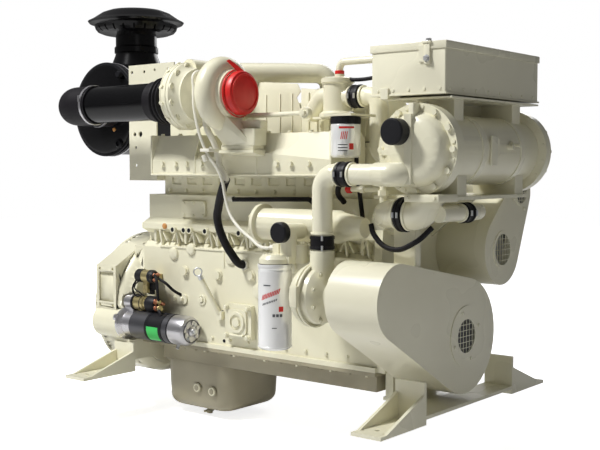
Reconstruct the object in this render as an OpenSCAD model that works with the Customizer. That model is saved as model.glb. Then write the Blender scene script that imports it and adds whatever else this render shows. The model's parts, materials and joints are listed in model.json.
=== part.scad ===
// Marine diesel engine: six cylinders in line, one turbocharger, heat exchanger cooling.
// Millimetres. +X points to the belt end, the exhaust side faces -Y, +Z is up.
// The origin lies on the crankshaft's axis, in the rear face of the flywheel housing.

/* [Crankcase] */
// Distance between neighbouring cylinders
bore_pitch = 178; // [168:1:190]
// Wall of the block beyond the end cylinders
block_end = 66; // [56:1:80]
// Height of the top deck above the crankshaft
deck_height = 482; // [470:1:500]
// Depth of the pan rail below the crankshaft
rail_depth = 130; // [126:1:140]
// Half the width of the crankcase skirt
skirt_half = 204; // [196:1:212]
// Height of the skirt's shoulder
skirt_top = 285; // [270:1:300]
// Half the width of the block above the skirt
waist_half = 172; // [160:1:185]
// Height of the ledge that carries the bosses
ledge_height = 340; // [330:1:360]
// How far that ledge stands out from the block
ledge_reach = 44; // [30:1:55]

/* [Crankshaft] */
// Piston stroke
stroke = 152.4; // [140:0.1:156]
// Diameter of a main journal
journal_d = 114.3; // [100:0.1:120]
// Diameter of a crank pin
pin_d = 79.4; // [70:0.1:90]
// Thickness of a crank web
web_t = 26; // [20:1:30]
// Radius of the counterweights
weight_r = 118; // [108:1:122]
// Radial clearance of a running fit
running = 0.05; // [0.02:0.01:0.08]

/* [Flywheel end] */
// Length of the flywheel housing
bell_l = 200; // [185:1:230]
// Outer radius of the housing's rear flange
housing_r = 306; // [292:1:315]
// Pilot bore of the housing
pilot_d = 511.18; // [505:0.01:515]
// Bolt circle of the housing
housing_pcd = 530.2; // [527:0.1:533]
// Bolts on the housing's circle
housing_bolts = 12; // [8:1:16]
// Depth of the flywheel's rear face inside the housing
flywheel_depth = 39.6; // [36:0.1:45]
// Thickness of the flywheel
flywheel_t = 70; // [60:1:76]
// Gear module of ring gear and pinion
gear_module = 4.23; // [4.1:0.01:4.3]
// Teeth of the ring gear
ring_teeth = 118; // [114:1:118]
// Teeth of the starter pinion
pinion_teeth = 11; // [11:1:13]
// Width of the ring gear
ring_w = 26; // [22:1:28]

/* [Heads and covers] */
// Half the width of a cylinder head
head_half = 145; // [135:1:155]
// Height of a cylinder head
head_h = 112; // [105:1:120]
// Height of a rocker housing
rocker_h = 92; // [80:1:100]
// Height of a rocker cover
cover_h = 158; // [120:1:165]

/* [Oil pan] */
// Depth of the deep sump below the crankshaft
sump_depth = 408; // [380:1:440]
// Length of the deep sump
sump_length = 365; // [340:1:420]
// Depth of the shallow front tray below the crankshaft
tray_depth = 208; // [195:1:215]
// Half the width of the sump
sump_half = 176; // [165:1:190]
// Wall of the oil pan
pan_wall = 8; // [5:1:12]

/* [Exhaust manifold] */
// Depth of the manifold, from the heads outwards
manifold_depth = 200; // [180:1:205]
// Height of the manifold's lower edge
manifold_z = 563; // [555:1:575]
// Height of the manifold's end boxes
manifold_h = 157; // [140:1:165]
// Height of the turbocharger's foot above the lower edge
foot_h = 105; // [95:1:115]

/* [Turbocharger] */
// Distance of the turbocharger's axis from the crankshaft's plane
turbo_y = 400; // [390:1:410]
// Height of the turbocharger's axis
turbo_z = 870; // [855:1:885]
// Station of the compressor wheel
comp_x = 600; // [590:1:610]
// Distance from compressor wheel to turbine wheel
wheel_span = 200; // [190:1:210]
// Outer radius of the compressor cover
comp_r = 128; // [118:1:138]
// Outer radius of the turbine volute
turbine_r = 124; // [115:1:130]
// Radius of the turbine outlet
outlet_r = 72; // [65:1:78]

/* [Air intake] */
// Radius of the air cleaner drum
drum_r = 205; // [190:1:212]
// Length of the air cleaner drum
drum_length = 390; // [350:1:430]
// Station of the drum's axis, behind the housing's face
drum_x = 86; // [80:1:100]
// Radius of the rain cap
cap_r = 215; // [190:1:225]
// Height of the rain cap's top
cap_top = 1300; // [1280:1:1320]
// Radius of the intake pipe
intake_r = 73; // [68:1:76]

/* [Cooling] */
// Radius of the heat exchanger's end rings
ring_end_r = 149; // [142:1:152]
// Radius of the heat exchanger's shell
shell_r = 118; // [108:1:126]
// Height of the heat exchanger's axis
shell_z = 652; // [645:1:660]
// Distance of its axis in front of the gear case
shell_gap = 232; // [225:1:245]
// Length of the shell between its end covers
shell_l = 640; // [600:1:645]
// Length of the expansion tank, across the engine
tank_length = 645; // [600:1:680]
// Width of the expansion tank
tank_w = 284; // [260:1:300]
// Height of the expansion tank
tank_h = 166; // [150:1:180]
// Height of the expansion tank's top
tank_top = 994; // [985:1:1005]
// Outer radius of the main coolant pipe
coolant_r = 35; // [32:1:38]
// Thickness of the rubber hoses
hose_t = 5; // [4:1:7]

/* [Belt drive] */
// Thickness of the gear case
gear_case_t = 33; // [28:1:40]
// Depth of the belt guards
guard_depth = 207; // [200:1:220]
// Sheet of the belt guards
guard_t = 3; // [2:1:5]
// Guard radius round the crankshaft pulley
guard_r = 205; // [195:1:208]
// Guard radius round the water pump pulley
guard_lobe_r = 127; // [115:1:135]
// Pitch radius of the crankshaft pulley
crank_pulley_r = 118; // [105:1:125]
// Pitch radius of the water pump pulley
pump_pulley_r = 84; // [75:1:92]
// Distance of the water pump's axis from the crankshaft's plane
pump_y = 425; // [415:1:435]
// Height of the water pump's axis
pump_z = 160; // [150:1:170]
// Radius of the water pump's body
pump_r = 106; // [96:1:112]

/* [Lubrication] */
// Radius of the oil filter
filter_r = 59; // [54:1:62]
// Length of the oil filter
filter_l = 298; // [260:1:310]
// Distance of the oil filter from the crankshaft's plane
filter_y = 470; // [460:1:480]
// Station of the oil filter
filter_x = 1154; // [1140:1:1170]
// Radius of the oil cooler's shell
cooler_r = 58; // [52:1:62]

/* [Starter] */
// Radius of the starter motor
starter_r = 59; // [54:1:62]
// Length of the starter motor
starter_l = 384; // [370:1:400]
// Angle of the starter below the horizontal, in degrees
starter_angle = 13; // [10:1:16]

/* [Feet] */
// Height of the feet's undersides below the crankshaft
feet_depth = 256; // [250:1:262]
// Distance of the feet's bolt holes from the crankshaft's plane
feet_y = 500; // [480:1:520]
// Station of the rear feet
rear_foot_x = 178; // [170:1:185]
// Radius of a foot's bolt hole
foot_hole_r = 9; // [7:1:11]

/* [Hidden] */

// Colours
cream = "#e8e4cf";
shade = "#b9b2a2";
black = "#1b1b1e";
steel = "#a9abad";
rubber = "#202022";
red = "#cf1b16";
white = "#f2f2f0";
gold = "#b69a55";

// Shared small sizes
round_fn = 48;
cyl_count = 6;
seat = 0.3;
cut = 2;
lap = 1.5;
step = 0.25;
sheet = 6;

// Stations along the engine
block_rear = bell_l;
block_length = cyl_count * bore_pitch + 2 * block_end;
block_front = block_rear + block_length;
gear_face = block_front + gear_case_t;
guard_front = gear_face + guard_depth;
head_top = deck_height + head_h;
rocker_top = head_top + rocker_h;
cover_top = rocker_top + cover_h;
first_cyl = block_rear + block_end + bore_pitch / 2;

// Crankcase details
bay_l = 142;
bay_half = 166;
bay_top = 152;
seal_r = 76;
flange_r = 92;
flange_t = 22;
flange_x = flywheel_depth + flywheel_t;
nose_r = 36;
boss_r = 13;
boss_l = 12;
rib_t = 12;
cover_plate = [136, 66, 10];
plate_at = [470, 404];

// Starter and gears
ring_r = gear_module * ring_teeth / 2;
pinion_r = gear_module * pinion_teeth / 2;
starter_reach = ring_r + pinion_r;
starter_y = -starter_reach * cos(starter_angle);
starter_z = -starter_reach * sin(starter_angle);
pinion_w = 22;
pinion_gap = 3;
ring_x = flange_x - ring_w;
pinion_x = flange_x + pinion_gap;
clutch_l = 18;
starter_x = pinion_x + pinion_w + clutch_l + pinion_gap;
pocket_r = 42;
shaft_r = 9;
clutch_r = 22;

// Housing details
housing_wall = 26;
front_wall = 60;
pilot_l = 26;
pad_size = [122, 186];
pad_at = [12, 88];
pad_y = housing_r + 1;

// Manifold details
manifold_x = block_rear + bore_pitch + 22;
manifold_length = 5 * bore_pitch + 14;
manifold_y = head_half + manifold_depth;
box_rear_l = 238;
box_front_l = 350;
foot_x = 915;
foot_size = [158, 112, 17];

// Turbocharger details
shaft_turbo_r = 12;
wheel_c_r = 58;
wheel_t_r = 52;
blade_t = 2.4;
cap_wall = 10;
cap_l = 38;
turbine_x = comp_x + wheel_span;
outlet_l = 115;

// Air intake details
drum_y = -176;
drum_z = 850;
elbow_r = 88;

// Cooling details
hx_x = gear_face + shell_gap;
hx_near = -345;
ring_t = 22;
tank_x = gear_face + 42;
tank_near = -350;
shelf_z = 815;
shelf_t = 6;
pump_x = gear_face - 203;
pump_l = 121;
thermo_x = 1128;
neck_l = 60;

// Guard details
acc_y = 262;
acc_z = 290;
alt_z = 498;
acc_guard_r = 132;
alt_guard_r = 80;
alt_gap = 31;
alt_y = hx_near + shell_l + alt_guard_r + alt_gap;
acc_pulley_r = 78;
alt_pulley_r = 42;
belt_w = 13;
belt_h = 10;
belt_pitch = 22;
pulley_x = gear_face + 118;
pulley_l = 74;
mesh_r = 62;
guard_ring_r = 108;

function unit(v) = v / norm(v);
function turn_of(p, i) = acos(max(-1, min(1, unit(p[i] - p[i - 1]) * unit(p[i + 1] - p[i]))));
function round_rect(w, h, r, n = 3) = [for (c = [0:3])
  let (cx = (c == 0 || c == 3) ? w / 2 - r : r - w / 2, cy = (c < 2) ? h / 2 - r : r - h / 2)
  for (k = [0:n]) [cx + r * cos(90 * c + 90 * k / n), cy + r * sin(90 * c + 90 * k / n)]];

module along_x(len) {
  rotate([90, 0, 90]) linear_extrude(len) children();
}

module along_y(len) {
  translate([0, len, 0]) rotate([90, 0, 0]) linear_extrude(len) children();
}

module x_rod(r, len) {
  rotate([0, 90, 0]) cylinder(h = len, r = r, $fn = round_fn);
}

module y_rod(r, len) {
  rotate([-90, 0, 0]) cylinder(h = len, r = r, $fn = round_fn);
}

module z_rod(r, len) {
  cylinder(h = len, r = r, $fn = round_fn);
}

// A revolved shape about X: points are [radius, distance along X]
module x_turn(points) {
  rotate([0, 90, 0]) rotate_extrude($fn = round_fn) polygon(points);
}

// A revolved shape about Y: points are [radius, distance along Y]
module y_turn(points) {
  rotate([-90, 0, 0]) rotate_extrude($fn = round_fn) polygon(points);
}

module z_turn(points) {
  rotate_extrude($fn = round_fn) polygon(points);
}

// A box between two corners
module span(a, b) {
  translate(a) cube(b - a);
}

// A round pipe through points, with one bend radius
module pipe(points, r, bend) {
  last = len(points) - 1;
  trim = [for (i = [0:last]) (i == 0 || i == last) ? 0 : bend * tan(turn_of(points, i) / 2)];
  for (i = [0:last - 1]) {
    d = unit(points[i + 1] - points[i]);
    a = points[i] + d * (i == 0 ? 0 : trim[i] - lap);
    b = points[i + 1] - d * (i == last - 1 ? 0 : trim[i + 1] - lap);
    translate(a) rotate([0, acos(d.z), atan2(d.y, d.x)]) z_rod(r, norm(b - a));
  }
  if (last > 1)
    for (i = [1:last - 1]) {
      u = unit(points[i] - points[i - 1]);
      v = unit(points[i + 1] - points[i]);
      inward = unit(v - u * (u * v));
      c = points[i] - u * trim[i] + inward * bend;
      x = -inward;
      z = cross(x, u);
      multmatrix([[x.x, u.x, z.x, c.x], [x.y, u.y, z.y, c.y], [x.z, u.z, z.z, c.z], [0, 0, 0, 1]])
        rotate_extrude(angle = turn_of(points, i), $fn = round_fn)
          translate([bend, 0]) circle(r = r + step, $fn = round_fn);
    }
}

module on_turbo(x) {
  translate([x, -turbo_y, turbo_z]) children();
}

module ring_of(n, r, first = 0) {
  for (k = [0:n - 1]) {
    a = first + 360 * k / n;
    translate([0, r * cos(a), r * sin(a)]) children();
  }
}

block_side = [[skirt_half, -rail_depth], [skirt_half, skirt_top - ledge_reach / 2],
  [skirt_half - ledge_reach / 2, skirt_top], [waist_half, skirt_top],
  [waist_half, ledge_height - ledge_reach / 2], [waist_half + ledge_reach, ledge_height],
  [waist_half + ledge_reach, ledge_height + ledge_reach / 2],
  [waist_half, ledge_height + ledge_reach], [waist_half, deck_height]];

// The block: skirt, waist and ledge, with its crank bays and main bearing line
module cylinder_block() {
  n = len(block_side);
  section = concat(block_side, [for (i = [0:n - 1]) [-block_side[n - 1 - i].x, block_side[n - 1 - i].y]]);
  color(cream) difference() {
    union() {
      translate([block_rear, 0, 0]) along_x(block_length) polygon(section);
      for (k = [0:cyl_count])
        translate([block_rear + block_end + k * bore_pitch - rib_t / 2, 0, 0])
          for (s = [-1, 1])
            span([0, s > 0 ? waist_half - cut : -skirt_half + cut, skirt_top - cut],
              [rib_t, s > 0 ? skirt_half - cut : cut - waist_half, ledge_height]);
      for (x = boss_places)
        translate([block_rear + x, -waist_half - ledge_reach - boss_l, ledge_height])
          y_rod(boss_r, boss_l + cut);
      for (s = [-1, 1])
        span([block_rear, s > 0 ? skirt_half - cut : -skirt_half - rib_t, -rail_depth],
          [block_front, s > 0 ? skirt_half + rib_t : cut - skirt_half, -rail_depth + 1.5 * rib_t]);
    }
    for (k = [0:cyl_count - 1])
      translate([first_cyl + k * bore_pitch - bay_l / 2, -bay_half, -rail_depth - cut])
        cube([bay_l, 2 * bay_half, bay_top + rail_depth + cut]);
    translate([block_rear - cut, 0, 0]) x_rod(journal_d / 2 + running, block_length + 2 * cut);
    for (x = boss_places)
      translate([block_rear + x, -waist_half - ledge_reach - boss_l - cut, ledge_height])
        y_rod(boss_r / 3, boss_l + 2 * cut);
  }
}
boss_places = [197, 261, 292, 381, 563];

// The flywheel housing: rear flange with pilot bore, bell, side pad and starter pocket
module flywheel_housing() {
  inner = ring_r + 12;
  color(cream) difference() {
    union() {
      x_turn([[0, 0], [housing_r, 0], [housing_r, 20], [housing_r - 8, 26], [housing_r - 8, 40],
        [housing_r, 50], [housing_r, 130], [housing_r - 12, 160], [housing_r - 40, bell_l - 12],
        [housing_r - 40, bell_l], [0, bell_l]]);
      span([bell_l - 60, -skirt_half, -rail_depth],
        [bell_l, skirt_half, skirt_top - ledge_reach / 2]);
      span([pad_at.x, -pad_y, pad_at.y - pad_size.y / 2],
        [pad_at.x + pad_size.x, -housing_r / 2, pad_at.y + pad_size.y / 2]);
      translate([pad_at.x, 0, 0]) along_x(pad_size.x)
        lobes([0, 0], housing_r, [8 - pad_y, pad_at.y + pad_size.y / 2 - 8], 8);
      translate([pad_at.x, starter_y, starter_z])
        x_rod(pocket_r + housing_wall, starter_x - pad_at.x);
      for (s = [-1, 1])
        span([rear_foot_x - foot_w / 2, s > 0 ? housing_r / 2 : -foot_face, -pad_low],
          [bell_l, s > 0 ? foot_face : -housing_r / 2, -pad_low / 2]);
    }
    translate([starter_x, starter_y, starter_z]) x_rod(pocket_r + housing_wall + cut, bell_l);
    translate([starter_x, starter_y, starter_z + sol_z]) x_rod(34, bell_l);
    translate([starter_x, starter_y - 24, starter_z]) cube([bell_l, 48, sol_z]);
    translate([-cut, 0, 0]) x_rod(pilot_d / 2, pilot_l + cut);
    translate([pilot_l, 0, 0]) x_rod(inner, bell_l - front_wall - pilot_l);
    translate([-cut, 0, 0]) x_rod(seal_r, bell_l + 2 * cut);
    translate([ring_x - pinion_gap, starter_y, starter_z])
      x_rod(pocket_r, starter_x - ring_x + pinion_gap + cut);
    ring_of(housing_bolts, housing_pcd / 2, 180 / housing_bolts)
      translate([-cut, 0, 0]) x_rod(housing_hole_r, 24 + cut);
    for (x = [1, 5])
      for (z = [-1, 1])
        translate([pad_at.x + pad_size.x * x / 6, -pad_y - cut, pad_at.y + z * pad_size.y / 2.4])
          y_rod(boss_r / 2, 5 * cut);
    span([pad_at.x + 15, -pad_y - cut, pad_at.y - pad_size.y / 3],
      [pad_at.x + pad_size.x - 15, -pad_y + 8, pad_at.y + pad_size.y / 3]);
  }
}
foot_w = 116;
foot_face = 292;
pad_low = 215;
housing_hole_r = 5;

gear_case_half = [[skirt_half, -rail_depth], [skirt_half + 10, 60], [skirt_half + 22, 250],
  [waist_half + ledge_reach, ledge_height + ledge_reach], [waist_half - 20, deck_height]];

// The gear case, with the crank seal's boss and a lower lip for the front support
module gear_case() {
  n = len(gear_case_half);
  outline = concat(gear_case_half,
    [for (i = [0:n - 1]) [-gear_case_half[n - 1 - i].x, gear_case_half[n - 1 - i].y]]);
  color(cream) difference() {
    union() {
      translate([block_front, 0, 0]) along_x(gear_case_t) polygon(outline);
      translate([gear_face - cut, 0, 0]) x_rod(seal_r + 16, 12 + cut);
      translate([gear_face - cut, acc_y - 40, acc_z]) x_rod(acc_boss_r, acc_boss_l + cut);
      translate([gear_face - cut, acc_y, acc_z]) x_rod(acc_boss_r, acc_boss_l + cut);
      span([block_front, -support_half, -lip_depth], [gear_face, support_half, -rail_depth + cut]);
      span([block_front, acc_y - 60, acc_z - 70], [gear_face, acc_y + 40, acc_z + 50]);
    }
    translate([block_front - cut, 0, 0]) x_rod(journal_d / 2 + 2 * cut, gear_case_t + 12 + 3 * cut);
    translate([gear_face - 20, acc_y, acc_z]) x_rod(acc_shaft_r + running, acc_boss_l + 20 + cut);
  }
}
acc_boss_r = 46;
acc_boss_l = 60;
acc_shaft_r = 20;
support_half = 150;
lip_depth = 226;

// The oil pan: rail flange, shallow tray and deep rounded sump, open at the top
module oil_pan() {
  rail_w = skirt_half + rib_t;
  sump_x = block_rear + sump_gap;
  color(cream) difference() {
    union() {
      span([block_rear, -rail_w, -rail_depth - rail_t], [block_front, rail_w, -rail_depth]);
      span([block_rear + sump_gap, -sump_half, -tray_depth],
        [block_front - 20, sump_half, -rail_depth - rail_t + cut]);
      hull() {
        for (x = [sump_round, sump_length - sump_round])
          for (y = [-1, 1])
            translate([sump_x + x, y * (sump_half - sump_round), 0]) {
              translate([0, 0, -rail_depth - 2 * rail_t]) cylinder(h = rail_t, r = sump_round, $fn = 32);
              translate([0, 0, sump_round - sump_depth]) sphere(r = sump_round, $fn = 24);
            }
      }
    }
    translate([sump_x + pan_wall, -sump_half + pan_wall, -tray_depth + pan_wall])
      cube([block_front - 20 - sump_x - 2 * pan_wall, 2 * (sump_half - pan_wall), tray_depth]);
    translate([sump_x + sump_round, sump_round - sump_half, pan_wall - sump_depth])
      cube([sump_length - 2 * sump_round, 2 * (sump_half - sump_round), sump_depth]);
    for (p = pan_plugs)
      translate([p.x, -sump_half - cut, p.y]) y_rod(plug_r, 2 * pan_wall);
  }
}
rail_t = 14;
sump_gap = 85;
sump_round = 40;
plug_r = 13;
pan_plugs = [[486, -311], [571, -316]];

// Bolts of manifold, exchanger rings, gear case and pan, with the pan's plugs and drain
module bolts_and_plugs() {
  color(cream) {
    for (x = manifold_bolt_x)
      translate([manifold_x + x, -manifold_y - bolt_h, manifold_z + 45]) y_rod(bolt_r, bolt_h);
    ring_at([hx_x, hx_near - ring_t - bolt_h, shell_z], ring_end_r - bolt_r - 3, 12, bolt_h);
    ring_at([hx_x, hx_near + shell_l, shell_z], ring_end_r - bolt_r - 3, 12, bolt_h);
    for (p = pan_plugs)
      translate([p.x, -sump_half - 9, p.y]) {
        y_rod(plug_r + 4, 9);
        y_rod(plug_r - seat, 9 + pan_wall);
      }
    translate([block_rear + sump_gap + sump_length / 2, 0, -sump_depth - drain_h]) z_rod(plug_r, drain_h);
    for (x = [0:7])
      for (s = [-1, 1])
        translate([block_rear + 40 + x * (block_length - 80) / 7,
          s * (skirt_half + rib_t / 2), -rail_depth - rail_t - bolt_h / 2]) z_rod(bolt_r / 2, bolt_h / 2);
  }
}
bolt_r = 10;
bolt_h = 12;
drain_h = 26;
manifold_bolt_x = [67, 140, 201, 282, 350, 658, 723, 805];

module ring_at(c, r, n, h) {
  for (k = [0:n - 1])
    translate([c.x + r * cos(360 * k / n), c.y, c.z + r * sin(360 * k / n)]) y_rod(bolt_r, h);
}

// Three cylinder heads, each over two cylinders
module cylinder_heads() {
  color(cream) for (k = [0:2])
    translate([block_rear + block_end + 2 * k * bore_pitch + seat, -head_half, deck_height])
      difference() {
        cube([2 * bore_pitch - 2 * seat, 2 * head_half, head_h]);
        for (j = [0:3])
          translate([bore_pitch / 4 + j * bore_pitch / 2, -cut, head_h / 2.6])
            cube([bore_pitch / 3.4, 8 + cut, head_h / 4]);
      }
}

// Three rocker housings
module rocker_housings() {
  color(cream) for (k = [0:2])
    translate([block_rear + block_end + (2 * k + 1) * bore_pitch, 0, head_top])
      linear_extrude(rocker_h) polygon(round_rect(2 * bore_pitch - 8, 2 * head_half - 16, 24));
}

// Three tall ribbed rocker covers with leaning sides
module rocker_covers() {
  foot_half = head_half - 16;
  top_half = head_half - 48;
  color(cream) for (k = [0:2])
    translate([block_rear + block_end + 2 * k * bore_pitch + 12, 0, rocker_top]) {
      along_x(2 * bore_pitch - 24) polygon([[-foot_half, 0], [foot_half, 0], [foot_half, 14],
        [top_half, cover_h - 18], [top_half - 18, cover_h], [18 - top_half, cover_h],
        [-top_half, cover_h - 18], [-foot_half, 14]]);
      for (j = [0:4])
        translate([28 + j * (2 * bore_pitch - 90) / 4, 0, 0])
          along_x(8) polygon([[-foot_half - 7, 12], [foot_half + 7, 12], [top_half + 7, cover_h - 22],
            [-top_half - 7, cover_h - 22]]);
    }
}

// The water-cooled exhaust manifold: leaning face, raised end boxes and turbocharger pad
module exhaust_manifold() {
  low = [[-head_half, 0], [-manifold_y, 0], [-manifold_y, 58], [-manifold_y + 26, foot_h - 16],
    [-head_half - 22, foot_h - 8], [-head_half, foot_h - 18]];
  box = [[-head_half, 0], [-manifold_y, 0], [-manifold_y, 58], [-manifold_y + 38, manifold_h],
    [-head_half - 24, manifold_h], [-head_half, manifold_h - 24]];
  color(cream) difference() {
    translate([manifold_x, 0, manifold_z]) {
      along_x(manifold_length) polygon(low);
      along_x(box_rear_l) polygon(box);
      translate([manifold_length - box_front_l, 0, 0]) along_x(box_front_l) polygon(box);
      translate([foot_x - manifold_x - foot_size.x / 2 - 6, -turbo_y - foot_size.y / 2 - 4, 0])
        translate([0, 0, foot_h - 40]) cube([foot_size.x + 12, foot_size.y + 8, 40]);
      translate([foot_x - manifold_x - foot_size.x / 2 - 6, 0, foot_h - 40])
        along_x(foot_size.x + 12) polygon([[-turbo_y - foot_size.y / 2 - 4, 0],
          [-manifold_y, -46], [-manifold_y + 40, 0]]);
    }
    translate([foot_x, -turbo_y, manifold_z + foot_h - 34]) z_rod(port_r, 34 + cut);
  }
}
port_r = 36;

// The turbine housing: volute, inlet leg with foot, and outlet neck
module turbine_housing() {
  tube_r = 42;
  ring = turbine_r - tube_r;
  color(cream) difference() {
    union() {
      on_turbo(turbine_x) {
        rotate([0, 90, 0]) rotate_extrude($fn = round_fn) translate([ring, 0])
          circle(r = tube_r, $fn = round_fn);
        x_turn([[0, -tube_r - 12], [ring, -tube_r - 12], [ring, -tube_r + 4], [ring + 4, 0],
          [ring, tube_r - 2], [outlet_r + 12, tube_r + 12], [outlet_r, tube_r + 24],
          [outlet_r, outlet_l], [0, outlet_l]]);
      }
      pipe([[turbine_x, -turbo_y, turbo_z - ring], [turbine_x, -turbo_y, turbo_z - ring - 28],
        [foot_x - 12, -turbo_y, manifold_z + foot_h + 34], [foot_x - 12, -turbo_y, manifold_z + foot_h]],
        leg_r, leg_bend);
      translate([foot_x - foot_size.x / 2, -turbo_y - foot_size.y / 2, manifold_z + foot_h])
        cube(foot_size);
    }
    on_turbo(turbine_x - tube_r - 12 - cut) x_rod(wheel_t_r + 4, tube_r + 40 + cut);
    on_turbo(turbine_x) x_rod(outlet_r - 12, outlet_l + cut);
    translate([foot_x - 12, -turbo_y, manifold_z + foot_h - cut]) z_rod(leg_r - 12, foot_size.z + cut);
  }
}
leg_r = 42;
leg_bend = 44;

// The bearing housing between compressor and turbine
module bearing_housing() {
  len = wheel_span - 42 - 12 - comp_back;
  bore = shaft_turbo_r + running;
  on_turbo(comp_x + comp_back) color(shade) {
    x_turn([[bore, 0], [comp_r - 26, 0], [comp_r - 26, 8], [62, 22], [52, 34],
      [50, len - 26], [66, len - 14], [78, len - 10], [78, len], [bore, len]]);
    translate([len / 2, 0, 46]) z_rod(17, 14);
    translate([len / 2, 0, -64]) z_rod(24, 18);
  }
}
comp_back = 24;

// The compressor housing: bolted cover, volute and outlet horn
module compressor_housing() {
  inlet = 46;
  wheel = wheel_c_r + 4;
  color(cream) difference() {
    union() {
      on_turbo(comp_x) {
        x_turn([[0, -inlet_l], [inlet + 14, -inlet_l], [inlet + 14, -44], [comp_r - 10, -38],
          [comp_r, -30], [comp_r, -4], [comp_r - 16, 6],
          [comp_r - 26, comp_back], [0, comp_back]]);
        ring_of(10, comp_r - 10, 18) translate([-46, 0, 0]) x_rod(bolt_r / 1.6, 12);
      }
      translate([horn_x, -turbo_y, horn_z]) y_rod(charge_r, horn_l);
    }
    on_turbo(comp_x - inlet_l - cut) x_rod(inlet, inlet_l + cut);
    on_turbo(comp_x - 24) x_rod(wheel, comp_back + 24 + cut);
  }
}
inlet_l = 62;
charge_r = 39;
charge_bend = 58;
horn_z = turbo_z + comp_r - charge_r;
horn_x = comp_x - 16;
horn_l = 132;

// The turbocharger's shaft with its two bladed wheels
module turbo_rotor() {
  on_turbo(comp_x) color(steel) {
    translate([-24, 0, 0]) x_rod(shaft_turbo_r, wheel_span + 38);
    x_turn([[0, -26], [14, -24], [20, -8], [wheel_c_r, 14], [wheel_c_r, 18], [0, 18]]);
    wheel(12, wheel_c_r, 44, -22, 14);
    translate([wheel_span, 0, 0]) {
      x_turn([[0, -26], [wheel_t_r, -26], [wheel_t_r, -22], [20, 8], [16, 22], [0, 24]]);
      wheel(11, wheel_t_r, 38, -24, 20);
    }
  }
}

// Radial blades between a hub and a tip radius
module wheel(n, tip, inlet, from, to) {
  for (k = [0:n - 1])
    rotate([360 * k / n, 0, 0]) translate([from, -blade_t / 2, shaft_turbo_r - 2])
      cube([to - from, blade_t, (tip < inlet ? tip : inlet) - shaft_turbo_r]);
}

// The red cap that closes the turbine outlet
module exhaust_cap() {
  on_turbo(turbine_x + outlet_l - cap_l + cap_wall) color(red)
    x_turn([[outlet_r + seat, 0], [outlet_r + cap_wall + 1, 0], [outlet_r + cap_wall + 3, 6],
      [outlet_r + cap_wall + 3, cap_l - 14], [outlet_r + cap_wall - 6, cap_l - 2],
      [outlet_r - 8, cap_l], [0, cap_l], [0, cap_l - cap_wall + seat],
      [outlet_r + seat, cap_l - cap_wall + seat]]);
}

// The turbocharger's oil feed, and its drain tube with the hose below it
module turbo_oil_lines() {
  mid = comp_x + comp_back + (wheel_span - 54 - comp_back) / 2;
  color(white) pipe([[mid, -turbo_y, turbo_z + 60 + seat], [mid, -turbo_y, turbo_z + 98],
    [mid - 16, -turbo_y - 60, turbo_z + 90], [mid + 6, -turbo_y - 62, turbo_z - 70],
    [mid + 130, -manifold_y - 40, manifold_z + 10], [mid + 210, -manifold_y - 44, 400],
    [filter_x - 110, -filter_y + 52, filter_top + 48], [filter_x - 40 - seat, -filter_y + 52, filter_top + 48]],
    line_r, 5 * line_r);
  color(rubber) pipe([[mid, -turbo_y, turbo_z - 64 - seat], [mid, -turbo_y, turbo_z - 110],
    [mid + 76, -manifold_y - 34, manifold_z + 60], [mid + 84, -manifold_y - 34, manifold_z - 10],
    [mid + 40, -skirt_half - 82, 440], [mid + 36, -skirt_half - 70, 330],
    [mid + 180, -skirt_half - 40, 212], [mid + 180, -skirt_half - seat, 212]], drain_r, 3 * drain_r);
}
line_r = 5;
drain_r = 13;
filter_top = 264;

// The charge air pipe from the compressor across to the aftercooler
module charge_air_pipe() {
  start = -turbo_y + horn_l;
  color(cream) difference() {
    pipe([[horn_x, start, horn_z], [horn_x, start + 42, horn_z],
      [charge_end.x, charge_end.y, horn_z], [charge_end.x, charge_end.y, box_top]],
      charge_r, charge_bend);
    translate([horn_x, start - cut, horn_z]) y_rod(charge_r - 5, 20);
  }
}
charge_end = [985, 62];
box_top = 892;

// The aftercooler on the far side, with the air box over the rocker cover
module aftercooler() {
  near = head_half;
  top = cover_top + 4;
  color(cream) {
    translate([after_x, near, 0]) {
      difference() {
        along_x_box = [after_l, after_d, top - head_mid];
        translate([0, 0, head_mid]) cube(along_x_box);
        translate([-cut, after_d - 40, top - 60]) rotate([45, 0, 0]) cube([after_l + 2 * cut, 140, 140]);
      }
      for (x = [0, 1])
        translate([x * (after_l + 26) - 26, 14, head_mid + 24]) cube([26, after_d - 60, top - head_mid - 90]);
      for (x = [0:5])
        translate([60 + x * (after_l - 130) / 5, after_d, head_mid + 30]) cube([10, 10, top - head_mid - 130]);
    }
    difference() {
      span([charge_end.x - 85, charge_end.y - 62, top], [charge_end.x + 75, near + 60, box_top]);
      translate([charge_end.x, charge_end.y, box_top - 20]) z_rod(charge_r - 6, 20 + cut);
    }
    for (x = [-18, -after_tail])
      translate([after_x + x, near + after_d / 2, head_mid + 70]) x_rod(31, 40);
  }
}
after_x = 480;
after_l = 760;
after_d = 170;
after_tail = 44;
head_mid = 560;

// The air cleaner drum with its end covers, side neck for the elbow and top neck for the rain cap
module air_cleaner() {
  translate([-drum_x, drum_y, drum_z]) color(black) difference() {
    union() {
      y_turn([[0, 0], [drum_r - 22, 0], [drum_r - 8, 10], [drum_r - 8, 34], [drum_r, 40], [drum_r, 52],
        [drum_r - 8, 58], [drum_r - 8, drum_length - 58], [drum_r, drum_length - 52],
        [drum_r, drum_length - 40], [drum_r - 8, drum_length - 34], [drum_r - 8, drum_length - 12],
        [drum_r - 24, drum_length], [0, drum_length]]);
      translate([0, -26, 0]) y_rod(intake_r, 26 + cut);
      translate([0, drum_length / 2, drum_r - 40]) z_turn([[0, 0], [116, 0], [112, 40], [96, 80], [92, 96],
        [0, 96]]);
    }
    translate([0, -26 - cut, 0]) y_rod(intake_r - 6, 60);
    translate([0, drum_length / 2, drum_r - 30]) z_rod(80, 100);
  }
}

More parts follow.
